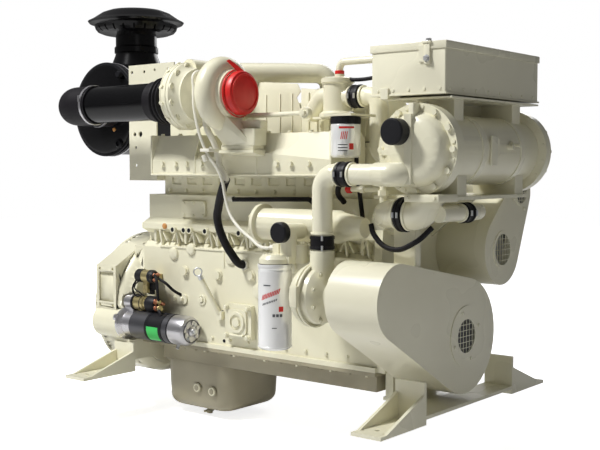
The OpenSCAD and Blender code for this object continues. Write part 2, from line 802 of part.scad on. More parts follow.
// The rain cap: neck, clamp bead and wide hood with a slotted skirt
module rain_cap() {
  base = drum_z + drum_r + 56;
  h = cap_top - base;
  translate([-drum_x, drum_y + drum_length / 2, base]) color(black) difference() {
    union() {
      z_turn([[0, 0], [98, 0], [98, 24], [92, 30], [92, h - 112], [150, h - 104], [cap_r - 44, h - 96],
        [cap_r - 34, h - 84], [cap_r - 28, h - 66], [cap_r - 6, h - 58], [cap_r, h - 50],
        [cap_r - 20, h - 40], [cap_r - 62, h - 12], [120, h], [0, h]]);
    }
    translate([0, 0, -cut]) z_rod(80, h - 60);
    for (k = [0:23])
      rotate([0, 0, 15 * k]) translate([cap_r - 52, -4, h - 106]) cube([30, 8, 30]);
  }
}

// The rubber elbow from the drum into the intake pipe
module air_elbow() {
  r = intake_r + hose_t + seat;
  color(rubber) difference() {
    pipe([[-drum_x, drum_y - seat, drum_z], [-drum_x, -turbo_y, drum_z], [elbow_end, -turbo_y, drum_z]],
      r, elbow_r);
    translate([-drum_x, drum_y - 26, drum_z]) y_rod(intake_r + seat, 30);
    translate([elbow_end - 32, -turbo_y, drum_z]) x_rod(intake_r + seat, 40);
  }
}
elbow_end = 62;

// The black pipe along the engine
module intake_pipe() {
  from = elbow_end - 30;
  color(black) difference() {
    translate([from, -turbo_y, drum_z]) x_rod(intake_r, hump_x + 30 - from);
    translate([from - cut, -turbo_y, drum_z]) x_rod(intake_r - 3, hump_x + 30 - from + 2 * cut);
  }
}
hump_x = 402;

// The ribbed rubber hose into the compressor
module hump_hose() {
  l = comp_x - inlet_l + 6 - hump_x;
  inner = intake_r + seat;
  neck = 60 + seat;
  t = hose_t;
  color(rubber) difference() {
    union() {
      translate([hump_x, -turbo_y, drum_z]) {
        x_rod(inner + t, l * 0.34);
        for (k = [0:2])
          translate([l * (0.3 + 0.14 * k), 0, 0]) x_turn([[0, 0], [inner + t, 0], [inner + t + 12, l * 0.05],
            [inner + t + 12, l * 0.09], [inner + t, l * 0.14], [0, l * 0.14]]);
      }
      translate([hump_x + l * 0.7, -turbo_y, turbo_z]) x_rod(neck + t, l * 0.3);
      hull() {
        translate([hump_x + l * 0.7, -turbo_y, drum_z])
          rotate([0, 90, 0]) cylinder(h = 1, r = inner + t, $fn = 32);
        translate([hump_x + l * 0.86, -turbo_y, turbo_z])
          rotate([0, 90, 0]) cylinder(h = 1, r = neck + t, $fn = 32);
      }
    }
    translate([hump_x - cut, -turbo_y, drum_z]) x_rod(inner, l * 0.6);
    on_turbo(comp_x - inlet_l - 4) x_rod(neck, 40);
    translate([hump_x, -turbo_y, (drum_z + turbo_z) / 2]) x_rod(44, l + cut);
  }
}

// The plate that carries the air cleaner on the rear of the engine
module cleaner_bracket() {
  rear = block_rear + block_end;
  outer = drum_y - 8;
  color(cream) difference() {
    union() {
      span([plate_left, outer - sheet, plate_low], [rear, outer, plate_top]);
      span([rear - sheet, outer - sheet, plate_low], [rear, head_half - 30, deck_height + 190]);
      span([rear - cut, outer - sheet, plate_top - 72], [plate_right, outer, plate_top]);
      for (z = [plate_low + 90, plate_top - 40])
        translate([plate_left + 40, outer - cut, z]) y_rod(12, 8 + cut);
    }
    for (p = plate_holes)
      translate([plate_left + p.x, outer - sheet - cut, plate_low + p.y]) y_rod(p.z, sheet + 2 * cut);
  }
}
plate_left = 96;
plate_low = 540;
plate_top = 1028;
plate_right = 372;
plate_holes = [[34, 196, 9], [70, 196, 12], [40, 140, 7], [42, 64, 7], [20, 458, 7], [96, 458, 7],
  [160, 462, 6], [240, 462, 6]];

// The oil cooler: tube along the block, bolted rear flange, tapered front and feet to the block
module oil_cooler() {
  color(cream) {
    translate([cooler_x, -cooler_y, cooler_z]) {
      x_turn([[0, 0], [cooler_r + 16, 0], [cooler_r + 16, 16], [cooler_r, 18], [cooler_r, cooler_l - 110],
        [cooler_r - 6, cooler_l - 96], [34, cooler_l], [0, cooler_l]]);
      for (x = [30, cooler_l - 170])
        span([x, 0, -32], [x + 36, cooler_y - waist_half - ledge_reach - seat, 20]);
    }
    for (x = [cooler_x + 30, cooler_x + cooler_l - 170])
      span([x, -waist_half - ledge_reach - cut, ledge_height + ledge_reach + seat],
        [x + 36, -waist_half - seat, cooler_z + 20]);
  }
}
cooler_x = 955;
cooler_l = 470;
cooler_y = 312;
cooler_z = 388;

// The oil filter head under the cooler, with its port stub
module filter_head() {
  color(cream) difference() {
    union() {
      translate([filter_x, -filter_y, filter_top]) z_turn([[0, 0], [filter_r - 4, 0], [filter_r - 4, 16],
        [44, 30], [0, 30]]);
      span([filter_x - 40, -filter_y, filter_top], [filter_x + 62, -skirt_half - seat, filter_top + 26]);
      span([filter_x - 40, -filter_y + 34, filter_top + 20], [filter_x - 12, -filter_y + 70, filter_top + 64]);
      translate([port_x, -filter_y - port_l, port_z]) y_rod(port_stub_r, filter_y + port_l - cooler_y - cooler_r - 4);
      translate([port_x, -filter_y + 30, filter_top + 16]) z_rod(30, port_z - filter_top - 16);
      translate([filter_x + 62, -filter_y + 62, filter_top]) z_rod(28, cooler_z - filter_top - 60);
    }
    translate([port_x, -filter_y - port_l - cut, port_z]) y_rod(port_stub_r - 6, port_l);
  }
}
port_stub_r = 29;
port_l = 24;
port_z = 372;
port_x = filter_x + 36;

// The spin-on oil filter
module oil_filter() {
  translate([filter_x, -filter_y, filter_top - filter_l]) color(white)
    z_turn([[0, 4], [filter_r - 20, 4], [filter_r - 12, 0], [filter_r - 3, 5], [filter_r, 14],
      [filter_r, filter_l - 26], [filter_r - 2, filter_l - 20], [filter_r, filter_l - 14],
      [filter_r, filter_l - 6], [filter_r - 8, filter_l], [0, filter_l]]);
}

// The spin-on fuel filter with its black collar
module fuel_filter() {
  translate([fuel_x, -fuel_y, bracket_z - fuel_l]) color(white)
    z_turn([[0, 3], [fuel_r - 16, 3], [fuel_r - 8, 0], [fuel_r, 9], [fuel_r, fuel_l - 28],
      [fuel_r - 4, fuel_l - 24], [fuel_r - 10, fuel_l - 20], [fuel_r - 10, fuel_l], [0, fuel_l]]);
}
fuel_x = 1368;
fuel_y = 300;
fuel_r = 51;
fuel_l = 140;
bracket_z = 768;

// The thermostat housing on its plate, which also carries the fuel filter
module thermostat_housing() {
  near = -252;
  color(cream) difference() {
    union() {
      span([thermo_x + 20, near, bracket_z], [thermo_x + 226, near + 122, bracket_z + 8]);
      span([fuel_x - 60, -fuel_y - 52, bracket_z], [gear_face - 10, near + cut, bracket_z + 8]);
      for (x = [40, 140])
        span([thermo_x + x, near + 40, manifold_z + manifold_h + seat], [thermo_x + x + 24, near + 70, bracket_z + cut]);
      translate([thermo_x + 92, thermo_y, bracket_z + 8 - cut]) z_turn([[0, 0], [66, 0], [66, 14], [52, 22],
        [52, 118], [60, 124], [60, 138], [44, 144], [0, 144]]);
      translate([thermo_x + 92, thermo_y, thermo_z]) x_rod(34, 96);
      pipe([[thermo_x + 92, thermo_y, thermo_z + 6], [thermo_x + 20, thermo_y, thermo_z + 6],
        [thermo_x - 30, thermo_y, thermo_z - 60]], 32, 34);
      translate([thermo_x - 30, thermo_y - 30, thermo_z - 62]) y_rod(22, 60);
      translate([thermo_x + 100, thermo_y, bracket_z + 130]) z_rod(18, 30);
    }
    translate([thermo_x + 92 + 60, thermo_y, thermo_z]) x_rod(26, 40);
  }
}
thermo_y = -198;
thermo_z = 846;

// Painted steel coolant pipes
module coolant_pipes() {
  pump_top = pump_z + pump_r + 32;
  color(cream) {
    // From the water pump up and along to the heat exchanger
    pipe([[pipe_x, -pump_y, pump_top + 60], [pipe_x, -pump_y, main_z], [pipe_x + 90, -pump_y, main_z]],
      coolant_r, 56);
    translate([pipe_x + 118, -pump_y, main_z]) x_rod(coolant_r, hx_x - shell_r - pipe_x - 118 - seat);
    // From the thermostat housing forwards and down
    pipe([[thermo_x + 206, thermo_y, thermo_z], [thermo_x + 272, thermo_y, thermo_z],
      [thermo_x + 272, thermo_y, shell_z - 20], [hx_x - shell_r - seat, thermo_y, shell_z - 20]],
      33, 40);
    // Vent line with its bend towards the expansion tank
    pipe([[thermo_x + 100, thermo_y, bracket_z + 160 + seat], [thermo_x + 100, thermo_y, tank_top - 22],
      [tank_x - seat, thermo_y, tank_top - 22]], 13, 26);
    // Return from under the heat exchanger back to the gear case
    pipe([[hx_x + 18, bowl_y, shell_z - ring_end_r - seat], [hx_x + 18, bowl_y, bowl_z],
      [hx_x - 46, bowl_y, bowl_z]], 50, 52);
    pipe([[hx_x - 84, bowl_y, bowl_z], [gear_face + 70, bowl_y, bowl_z],
      [gear_face + 70, -156, bowl_z - 40], [gear_face + seat, -156, bowl_z - 40]], 46, 50);
    translate([hx_x + 60, bowl_y, bowl_z + 4]) y_rod(27, 120);
    pipe([[hx_x + 60, bowl_y + 160, bowl_z + 4], [hx_x + 60, -48, bowl_z + 4],
      [gear_face + seat, -48, bowl_z + 4]], 27, 40);
  }
}
pipe_x = 1326;
main_z = 572;
bowl_y = -330;
bowl_z = 440;

// Rubber hoses that join the pipes, and the cable loom in its sleeve
module coolant_hoses() {
  pump_top = pump_z + pump_r + 32;
  color(rubber) {
    sleeve([pipe_x, -pump_y, pump_top - 8], [pipe_x, -pump_y, pump_top + 76], coolant_r);
    sleeve([pipe_x + 76, -pump_y, main_z], [pipe_x + 132, -pump_y, main_z], coolant_r);
    sleeve([thermo_x + 160, thermo_y, thermo_z], [thermo_x + 226, thermo_y, thermo_z], 34);
    sleeve([hx_x - 98, bowl_y, bowl_z], [hx_x - 38, bowl_y, bowl_z], 50);
    sleeve([hx_x + 60, bowl_y + 106, bowl_z + 4], [hx_x + 60, bowl_y + 174, bowl_z + 4], 27);
    pipe([[fuel_x - 38, 66 - fuel_y, bracket_z - seat], [fuel_x - 38, 66 - fuel_y, 600],
      [fuel_x - 38, -waist_half - ledge_reach / 2, ledge_height + 1.5 * ledge_reach],
      [fuel_x - 38, -waist_half - ledge_reach / 2, ledge_height + ledge_reach / 2 + 18]], 8, 30);
    pipe([[block_rear + 520, -waist_half - 40, 470], [block_rear + 900, -waist_half - 40, 478],
      [block_rear + 960, -waist_half - 40, 440], [block_rear + 960, -waist_half - 5, 422]], 9, 20);
  }
}

// A straight hose over two pipe ends
module sleeve(a, b, r) {
  d = b - a;
  u = unit(d);
  translate(a) rotate([0, acos(u.z), atan2(u.y, u.x)]) difference() {
    z_rod(r + seat + hose_t, norm(d));
    translate([0, 0, -cut]) z_rod(r + seat, norm(d) + 2 * cut);
  }
}

// The water pump: volute with V-band, top neck, bearing barrel and plate on the gear case
module water_pump() {
  translate([pump_x, -pump_y, pump_z]) color(cream) difference() {
    union() {
      x_turn([[0, 0], [52, 0], [62, 10], [pump_r - 18, 22], [pump_r - 8, 34], [pump_r - 8, 52],
        [pump_r, 58], [pump_r, 70], [pump_r - 8, 76], [pump_r - 8, pump_l - 20], [pump_r - 30, pump_l],
        [50, pump_l + 16], [46, pump_l + 30], [46, barrel_end], [0, barrel_end]]);
      translate([pipe_x - pump_x, 0, 0]) z_rod(coolant_r, pump_r + 54);
      translate([pipe_x - pump_x, 0, 0]) z_rod(coolant_r + 7, pump_r + 22);
      span([gear_face - pump_x, -58, -58], [gear_face - pump_x + 18, pump_y - skirt_half + 40, 58]);
      translate([-10, 0, -16]) x_rod(30, 20);
    }
    translate([34, 0, 0]) x_rod(impeller_r + 2, impeller_l + 6);
    translate([34, 0, 0]) x_rod(pump_shaft_r + running, barrel_end);
  }
}
impeller_r = 74;
impeller_l = 36;
pump_shaft_r = 15;
barrel_end = 300;

// The pump's vaned impeller on its shaft
module pump_impeller() {
  translate([pump_x + 37, -pump_y, pump_z]) color(steel) {
    x_rod(pump_shaft_r, pulley_x + pulley_l - pump_x - 37);
    x_turn([[0, 0], [28, 0], [28, impeller_l - 8], [impeller_r, impeller_l - 6], [impeller_r, impeller_l],
      [0, impeller_l]]);
    for (k = [0:6])
      rotate([360 * k / 7, 0, 0]) translate([2, -3, 20]) rotate([18, 0, 0])
        cube([impeller_l - 6, 6, impeller_r - 26]);
  }
}

// A grooved pulley for V-belts
module pulley(r, n, bore) {
  w = belt_pitch;
  rim = r + belt_h / 2 + 2;
  floor_r = r - belt_h / 2 - 1;
  points = concat([[bore, 0], [rim, 0], [rim, 4]],
    [for (k = [0:n - 1]) each [[rim, 4 + k * w], [floor_r, 4 + k * w + 3],
      [floor_r, 4 + k * w + w - 5], [rim, 4 + k * w + w - 2]]],
    [[rim, 4 + n * w + 2], [bore, 4 + n * w + 2]]);
  x_turn(points);
}

// The water pump's pulley
module pump_pulley() {
  translate([pulley_x, -pump_y, pump_z]) color(cream) pulley(pump_pulley_r, 3, pump_shaft_r + seat / 3);
}

// Outline of a guard round two pulleys
module lobes(a, ra, b, rb, n = 22) {
  d = [b[0] - a[0], b[1] - a[1]];
  base = atan2(d.y, d.x);
  lean = acos((ra - rb) / norm(d));
  polygon(concat(
    [for (k = [0:n]) let (t = base + lean + (360 - 2 * lean) * k / n) [a[0] + ra * cos(t), a[1] + ra * sin(t)]],
    [for (k = [0:n]) let (t = base - lean + 2 * lean * k / n) [b[0] + rb * cos(t), b[1] + rb * sin(t)]]));
}

module guard_shell(a, ra, b, rb) {
  translate([gear_face, 0, 0]) along_x(guard_depth - guard_t) difference() {
    lobes(a, ra, b, rb);
    lobes(a, ra - guard_t, b, rb - guard_t);
  }
}

// The near guard: a deep drop-shaped sheet case over crankshaft and pump pulleys
module pump_belt_guard() {
  color(cream) {
    guard_shell([0, 0], guard_r, [-pump_y, pump_z], guard_lobe_r);
    translate([guard_front - guard_t, 0, 0]) along_x(guard_t) difference() {
      lobes([0, 0], guard_r, [-pump_y, pump_z], guard_lobe_r);
      circle(r = mesh_r, $fn = round_fn);
    }
  }
}

// The far guard over accessory and alternator pulleys
module alternator_guard() {
  color(cream) {
    guard_shell([acc_y, acc_z], acc_guard_r, [alt_y, alt_z], alt_guard_r);
    translate([guard_front - guard_t, 0, 0]) along_x(guard_t) difference() {
      lobes([acc_y, acc_z], acc_guard_r, [alt_y, alt_z], alt_guard_r);
      translate([acc_y, acc_z]) circle(r = acc_mesh_r, $fn = round_fn);
      translate([alt_y, alt_z]) circle(r = alt_mesh_r, $fn = round_fn);
    }
  }
}
acc_mesh_r = 60;
alt_mesh_r = 42;

// Ring plates on the guards, each with its mesh
module guard_rings() {
  color(shade) {
    mesh_plate([0, 0], guard_ring_r, mesh_r);
    mesh_plate([acc_y, acc_z], acc_mesh_r + 10, acc_mesh_r);
    mesh_plate([alt_y, alt_z], alt_mesh_r + 8, alt_mesh_r);
  }
}

module mesh_plate(c, outer, hole) {
  translate([guard_front, c.x, c.y]) {
    difference() {
      x_rod(outer, 3);
      translate([-cut, 0, 0]) x_rod(hole - 2, 3 + 2 * cut);
    }
    for (k = [-2:2]) {
      half = sqrt(pow(hole, 2) - pow(k * hole / 3, 2));
      span([0.5, k * hole / 3 - 1, -half], [2.5, k * hole / 3 + 1, half]);
      span([0.5, -half, k * hole / 3 - 1], [2.5, half, k * hole / 3 + 1]);
    }
  }
}

throw_angles = [0, 120, 240, 240, 120, 0];

// The crankshaft: seven main journals, six throws with counterweights, rear flange and nose
module crankshaft() {
  throw_r = stroke / 2;
  free = 3;
  color(steel) {
    translate([flange_x, 0, 0]) x_rod(flange_r, flange_t);
    translate([flange_x + flange_t - cut, 0, 0])
      x_rod(journal_d / 2, block_rear + block_end + bore_pitch - bay_l - flange_x - flange_t);
    for (k = [0:cyl_count - 1])
      translate([first_cyl + k * bore_pitch, 0, 0]) rotate([throw_angles[k], 0, 0])
        throw(throw_r, bay_l / 2 - free);
    for (k = [1:cyl_count - 1])
      translate([first_cyl + (k - 0.5) * bore_pitch - (bore_pitch - bay_l) / 2 - free - 1, 0, 0])
        x_rod(journal_d / 2, bore_pitch - bay_l + 2 * free + 2);
    translate([first_cyl + 5 * bore_pitch + bay_l / 2 - free - 1, 0, 0])
      x_rod(journal_d / 2, gear_face - first_cyl - 5 * bore_pitch - bay_l / 2 + free + 14);
    translate([gear_face, 0, 0]) x_rod(nose_r, pulley_x + pulley_l - gear_face);
  }
}

// One throw: two webs with counterweights and the pin between them
module throw(throw_r, half) {
  for (s = [-1, 1])
    translate([s > 0 ? half - web_t : -half, 0, 0]) {
      x_rod(journal_d / 2 + 12, web_t);
      translate([0, 0, throw_r]) x_rod(pin_d / 2 + 10, web_t);
      span([0, -pin_d / 2, 0], [web_t, pin_d / 2, throw_r]);
      intersection() {
        x_rod(weight_r, web_t);
        span([-cut, -weight_r, -weight_r - cut], [web_t + cut, weight_r, -10]);
      }
    }
  translate([-half + web_t - 1, 0, throw_r]) x_rod(pin_d / 2, 2 * (half - web_t) + 2);
}

// The flywheel, with its clutch bolt holes
module flywheel() {
  rim = gear_module * ring_teeth / 2 - 16;
  translate([flywheel_depth, 0, 0]) color(steel) difference() {
    x_turn([[28, 0], [rim, 0], [rim, flywheel_t - ring_w - seat], [rim - 6, flywheel_t - ring_w],
      [rim - 6, flywheel_t - 6], [rim - 60, flywheel_t - 10], [flange_r + 20, flywheel_t - 24],
      [flange_r + 8, flywheel_t], [28, flywheel_t]]);
    ring_of(8, clutch_pcd / 2) translate([-cut, 0, 0]) x_rod(clutch_hole_r, 24 + cut);
    ring_of(6, 60) translate([-cut, 0, 0]) x_rod(14, 14 + cut);
  }
}
clutch_pcd = 438.15;
clutch_hole_r = 5;

// Straight-flanked gear outline, thin enough to run in mesh
module gear_outline(teeth, first) {
  r = gear_module * teeth / 2;
  tip = r + gear_module * 0.9;
  root = r - gear_module * 1.15;
  pitch = 360 / teeth;
  polygon([for (k = [0:teeth - 1]) let (a = first + k * pitch) each [
    root * [cos(a - root_share * pitch), sin(a - root_share * pitch)],
    tip * [cos(a - tip_share * pitch), sin(a - tip_share * pitch)],
    tip * [cos(a + tip_share * pitch), sin(a + tip_share * pitch)],
    root * [cos(a + root_share * pitch), sin(a + root_share * pitch)]]]);
}
root_share = 0.27;
tip_share = 0.11;

// The ring gear shrunk on the flywheel's step
module ring_gear() {
  inner = ring_r - 22 + seat;
  color(steel) translate([ring_x, 0, 0]) along_x(ring_w) difference() {
    gear_outline(ring_teeth, 180 + starter_angle);
    circle(r = inner, $fn = 96);
  }
}

// The crankshaft's vibration damper and three-groove pulley
module crank_pulley() {
  color(cream) translate([gear_face + 30, 0, 0]) {
    x_turn([[nose_r + seat / 3, 0], [60, 0], [60, 8], [damper_r, 8], [damper_r, 44], [60, 44],
      [60, pulley_x - gear_face - 30 + 10], [nose_r + seat / 3, pulley_x - gear_face - 30 + 10]]);
    translate([pulley_x - gear_face - 30, 0, 0]) pulley(crank_pulley_r, 3, nose_r + seat / 3);
  }
}
damper_r = 165;

module belt(a, ra, b, rb, x) {
  translate([x, 0, 0]) along_x(belt_w) difference() {
    lobes(a, ra + belt_h / 2, b, rb + belt_h / 2);
    lobes(a, ra - belt_h / 2 - seat / 2, b, rb - belt_h / 2 - seat / 2);
  }
}

// V-belts: three for the water pump, two for the alternator
module drive_belts() {
  color(rubber) {
    for (k = [0:2])
      belt([0, 0], crank_pulley_r, [-pump_y, pump_z], pump_pulley_r, pulley_x + 7.5 + k * belt_pitch);
    for (k = [0:1])
      belt([acc_y, acc_z], acc_pulley_r, [alt_y, alt_z], alt_pulley_r, pulley_x + 7.5 + k * belt_pitch);
  }
}

// The alternator's body with its mounting ear
module alternator() {
  color(steel) {
    translate([alt_x, alt_y, alt_z]) difference() {
      union() {
        x_turn([[0, 0], [56, 0], [70, 12], [78, 22], [78, 70], [72, 74], [72, 110], [78, 114], [78, 150],
          [66, 164], [34, 170], [34, 178], [0, 178]]);
        span([20, -150, -100], [60, -40, -60]);
        span([120, -150, -100], [160, -40, -60]);
      }
      translate([alt_free, 0, 0]) x_rod(alt_shaft_r + running, 200);
      for (k = [0:11])
        rotate([30 * k, 0, 0]) translate([-cut, -5, 36]) cube([8 + cut, 10, 16]);
    }
    span([alt_x, waist_half + ledge_reach + seat, ledge_height - 30],
      [alt_x + 178, waist_half + ledge_reach + 16, alt_z - 50]);
    span([alt_x, waist_half + ledge_reach + 10, alt_z - 100],
      [alt_x + 178, alt_y - 148, alt_z - 60]);
  }
}
alt_x = 1212;
alt_free = 60;
alt_shaft_r = 10;

// The alternator's shaft and two-groove pulley
module alternator_rotor() {
  translate([0, alt_y, alt_z]) color(steel) {
    translate([alt_x + alt_free + 1, 0, 0]) x_rod(alt_shaft_r, pulley_x + 52 - alt_x - alt_free - 1);
    translate([pulley_x, 0, 0]) pulley(alt_pulley_r, 2, 0);
  }
}

// The gear-driven accessory shaft and its two-groove pulley
module accessory_drive() {
  translate([0, acc_y, acc_z]) color(steel) {
    translate([gear_face - 19, 0, 0]) x_rod(acc_shaft_r, pulley_x + 52 - gear_face + 19);
    translate([pulley_x, 0, 0]) pulley(acc_pulley_r, 2, 0);
  }
}

// The heat exchanger's shell with its end rings
module heat_exchanger() {
  color(cream) translate([hx_x, hx_near, shell_z]) {
    y_turn([[shell_r - 8, 0], [ring_end_r, 0], [ring_end_r, ring_t], [shell_r, ring_t],
      [shell_r, shell_l - ring_t - 16], [ring_end_r, shell_l - ring_t - 16],
      [ring_end_r, shell_l - 16], [shell_r - 8, shell_l - 16]]);
    span([shell_r - 4, shell_l / 2 - 60, -20],
      [shell_r + 6, shell_l / 2 - 20, 40]);
    translate([shell_r - 4, shell_l / 2 + 50, 12]) x_rod(9, 26);
  }
}

// Cast end covers: the near one with rib, port stub and pipe boss
module exchanger_covers() {
  color(cream) {
    translate([hx_x, hx_near - ring_t, shell_z]) difference() {
      union() {
        y_turn([[0, -44], [80, -42], [104, -34], [118, -12], [122, 0], [ring_end_r, 0],
          [ring_end_r, ring_t], [0, ring_t]]);
        span([-18, -50, -112], [8, 0, 112]);
        translate([port_at.x, -port_reach, port_at.y]) y_rod(port_big_r, port_reach);
        span([-112, -40, -18], [-10, 0, 0]);
        pipe([[-shell_r, cover_pipe_y, main_z - shell_z], [-30, cover_pipe_y, main_z - shell_z],
          [-30, 0, main_z - shell_z]], coolant_r + 4, 45);
      }
      translate([port_at.x, -port_reach - cut, port_at.y]) y_rod(port_big_r - 6, 40);
    }
    translate([hx_x, hx_near + shell_l - 16, shell_z])
      y_turn([[0, 0], [ring_end_r, 0], [ring_end_r, 16], [118, 16], [104, 20], [92, 34], [0, 38]]);
  }
}
port_at = [-36, 56];
cover_pipe_y = -pump_y - hx_near + ring_t;
port_big_r = 36;
port_reach = 92;

// Brackets: saddles and shelf that carry heat exchanger and expansion tank
module exchanger_brackets() {
  saddle_at = [hx_near + 90, hx_near + shell_l - 150];
  color(cream) {
    difference() {
      union() {
        for (y = saddle_at)
          span([hx_x - 84, y, saddle_low], [hx_x + 84, y + 60, shell_z]);
        for (y = saddle_at)
          span([hx_x - 70, y, shell_z], [hx_x + 70, y + 60, shelf_z]);
      }
      translate([hx_x, hx_near, shell_z]) y_rod(shell_r + seat, shell_l);
    }
    span([gear_face, saddle_at[0] - 20, saddle_low - 12], [hx_x + 90, saddle_at[1] + 80, saddle_low]);
    for (y = [-100, 96])
      translate([gear_face, y, 0]) along_y(14) polygon([[0, saddle_low - 12], [190, saddle_low - 12],
        [0, ledge_height]]);
    span([hx_x - 150, tank_near + 10, shelf_z], [hx_x + 112, tank_near + tank_length - 30, shelf_z + shelf_t]);
    for (y = [tank_near + 60, tank_near + tank_length - 120])
      span([hx_x - 120, y, shelf_z + shelf_t], [hx_x + 60, y + 40, tank_top - tank_h]);
  }
}
saddle_low = 500;

// The welded expansion tank with its filler neck and side lugs
module expansion_tank() {
  z = tank_top - tank_h;
  color(cream) difference() {
    union() {
      translate([tank_x + tank_w / 2, tank_near + tank_length / 2, z])
        linear_extrude(tank_h) polygon(round_rect(tank_w, tank_length, 5));
      translate([filler_x, filler_y, tank_top - cut]) z_rod(neck_r, neck_h + cut);
      span([tank_x + 186, tank_near - 6, tank_top - 62], [tank_x + 216, tank_near + cut, tank_top - 8]);
      span([tank_x + 40, tank_near - 8, z - 10], [tank_x + 70, tank_near + cut, z + 26]);
    }
    translate([tank_x + sheet, tank_near + sheet, z + sheet])
      cube([tank_w - 2 * sheet, tank_length - 2 * sheet, tank_h - 2 * sheet]);
    translate([filler_x, filler_y, tank_top - 2 * sheet]) z_rod(neck_r - 4, neck_h + 3 * sheet);
  }
}
filler_x = 1640;
filler_y = -120;
neck_r = 26;
neck_h = 16;

// The filler cap, which presses down over the neck
module filler_cap() {
  translate([filler_x, filler_y, tank_top + seat]) color(cream) difference() {
    union() {
      z_turn([[0, neck_h - 6], [neck_r + seat, neck_h - 6], [neck_r + seat, 4], [neck_r + 8, 4],
        [neck_r + 8, neck_h + 2], [neck_r + 2, neck_h + 8], [0, neck_h + 10]]);
      span([-neck_r - 16, -7, neck_h - 8], [neck_r + 16, 7, neck_h + 2]);
    }
    translate([0, 0, -cut]) z_rod(neck_r + seat, neck_h + cut);
  }
}

// A push-on cap over a port towards -Y
module push_cap(r, h) {
  y_turn([[0, 0], [r + 2, 0], [r + 7, 5], [r + 7, h], [r + seat, h], [r + seat, 6], [0, 6]]);
}

// The cap on the heat exchanger's port
module exchanger_port_cap() {
  translate([hx_x + port_at.x, hx_near - ring_t - port_reach - 6 - seat, shell_z + port_at.y])
    color(black) push_cap(port_big_r, 44);
}

// The cap on the oil filter head's port
module cooler_port_cap() {
  translate([port_x, -filter_y - port_l - 6 - seat, port_z]) color(black) push_cap(port_stub_r, 28);
}

// The starter motor: nose flange, drive end and yoke
module starter_motor() {
  translate([starter_x, starter_y, starter_z]) color(steel) difference() {
    union() {
      x_turn([[0, 0], [pocket_r + housing_wall, 0], [pocket_r + housing_wall, 14], [starter_r - 4, 24],
        [starter_r - 8, 70], [starter_r, 76], [starter_r, starter_l - 90], [starter_r - 2, starter_l - 86],
        [starter_r - 2, starter_l - 12], [starter_r - 10, starter_l], [0, starter_l]]);
      translate([14, 0, sol_z]) x_rod(30, 50);
      translate([14, -22, 0]) cube([50, 44, sol_z]);
      translate([starter_l - cut, 0, 0]) x_rod(13, 16);
    }
    translate([-cut, 0, 0]) x_rod(shaft_r + clutch_free + 6, 40);
  }
  translate([starter_x + 39, starter_y, starter_z]) color(steel) mirror([1, 0, 0])
    x_rod(shaft_r, 39 + clutch_l + pinion_w);
}
sol_z = 92;
clutch_free = 1;

// The starter's solenoid and the relay above it
module starter_solenoid() {
  color(black) {
    translate([starter_x + 64, starter_y, starter_z + sol_z]) {
      x_turn([[0, 0], [31, 0], [31, 60], [27, 62], [27, 118], [22, 122], [0, 122]]);
      span([14, -8, starter_r - sol_z + seat], [40, 8, -20]);
    }
    translate([starter_x + relay_at.x, starter_y + relay_at.y, relay_at.z]) {
      x_rod(26, 88);
      span([24, 14, -26], [64, -starter_y - relay_at.y - skirt_half - seat, 4]);
      span([30, -8, -70], [52, 8, -20]);
    }
  }
}
relay_at = [92, -10, 146];

// The overrunning clutch that pushes the pinion
module starter_clutch() {
  x0 = pinion_x + pinion_w + seat;
  translate([x0, starter_y, starter_z]) color(steel)
    x_turn([[shaft_r + running, 0], [clutch_r, 0], [clutch_r, clutch_l - 6], [clutch_r - 5, clutch_l],
      [shaft_r + running, clutch_l]]);
}

// The pinion, set so that a tooth meets a gap when it slides in
module starter_pinion() {
  translate([pinion_x, starter_y, starter_z]) color(steel) along_x(pinion_w) difference() {
    gear_outline(pinion_teeth, starter_angle + 180 / pinion_teeth);
    circle(r = shaft_r + running, $fn = round_fn);
  }
}

// The dipstick: ring handle and blade in its tube
module dipstick() {
  u = unit(stick_top - stick_base);
  color(steel) translate(stick_base) rotate([0, acos(u.z), atan2(u.y, u.x)]) {
    translate([0, 0, stick_in]) z_rod(3, norm(stick_top - stick_base) - stick_in + 8);
    translate([0, 0, norm(stick_top - stick_base) + seat]) z_rod(11, 16);
    translate([0, 6, norm(stick_top - stick_base) + 34]) rotate([90, 0, 0])
      rotate_extrude($fn = 32) translate([16, 6]) circle(r = 3, $fn = 16);
  }
}
stick_base = [648, -skirt_half - 12, 14];
stick_top = [592, -skirt_half - 54, 150];
stick_in = 20;

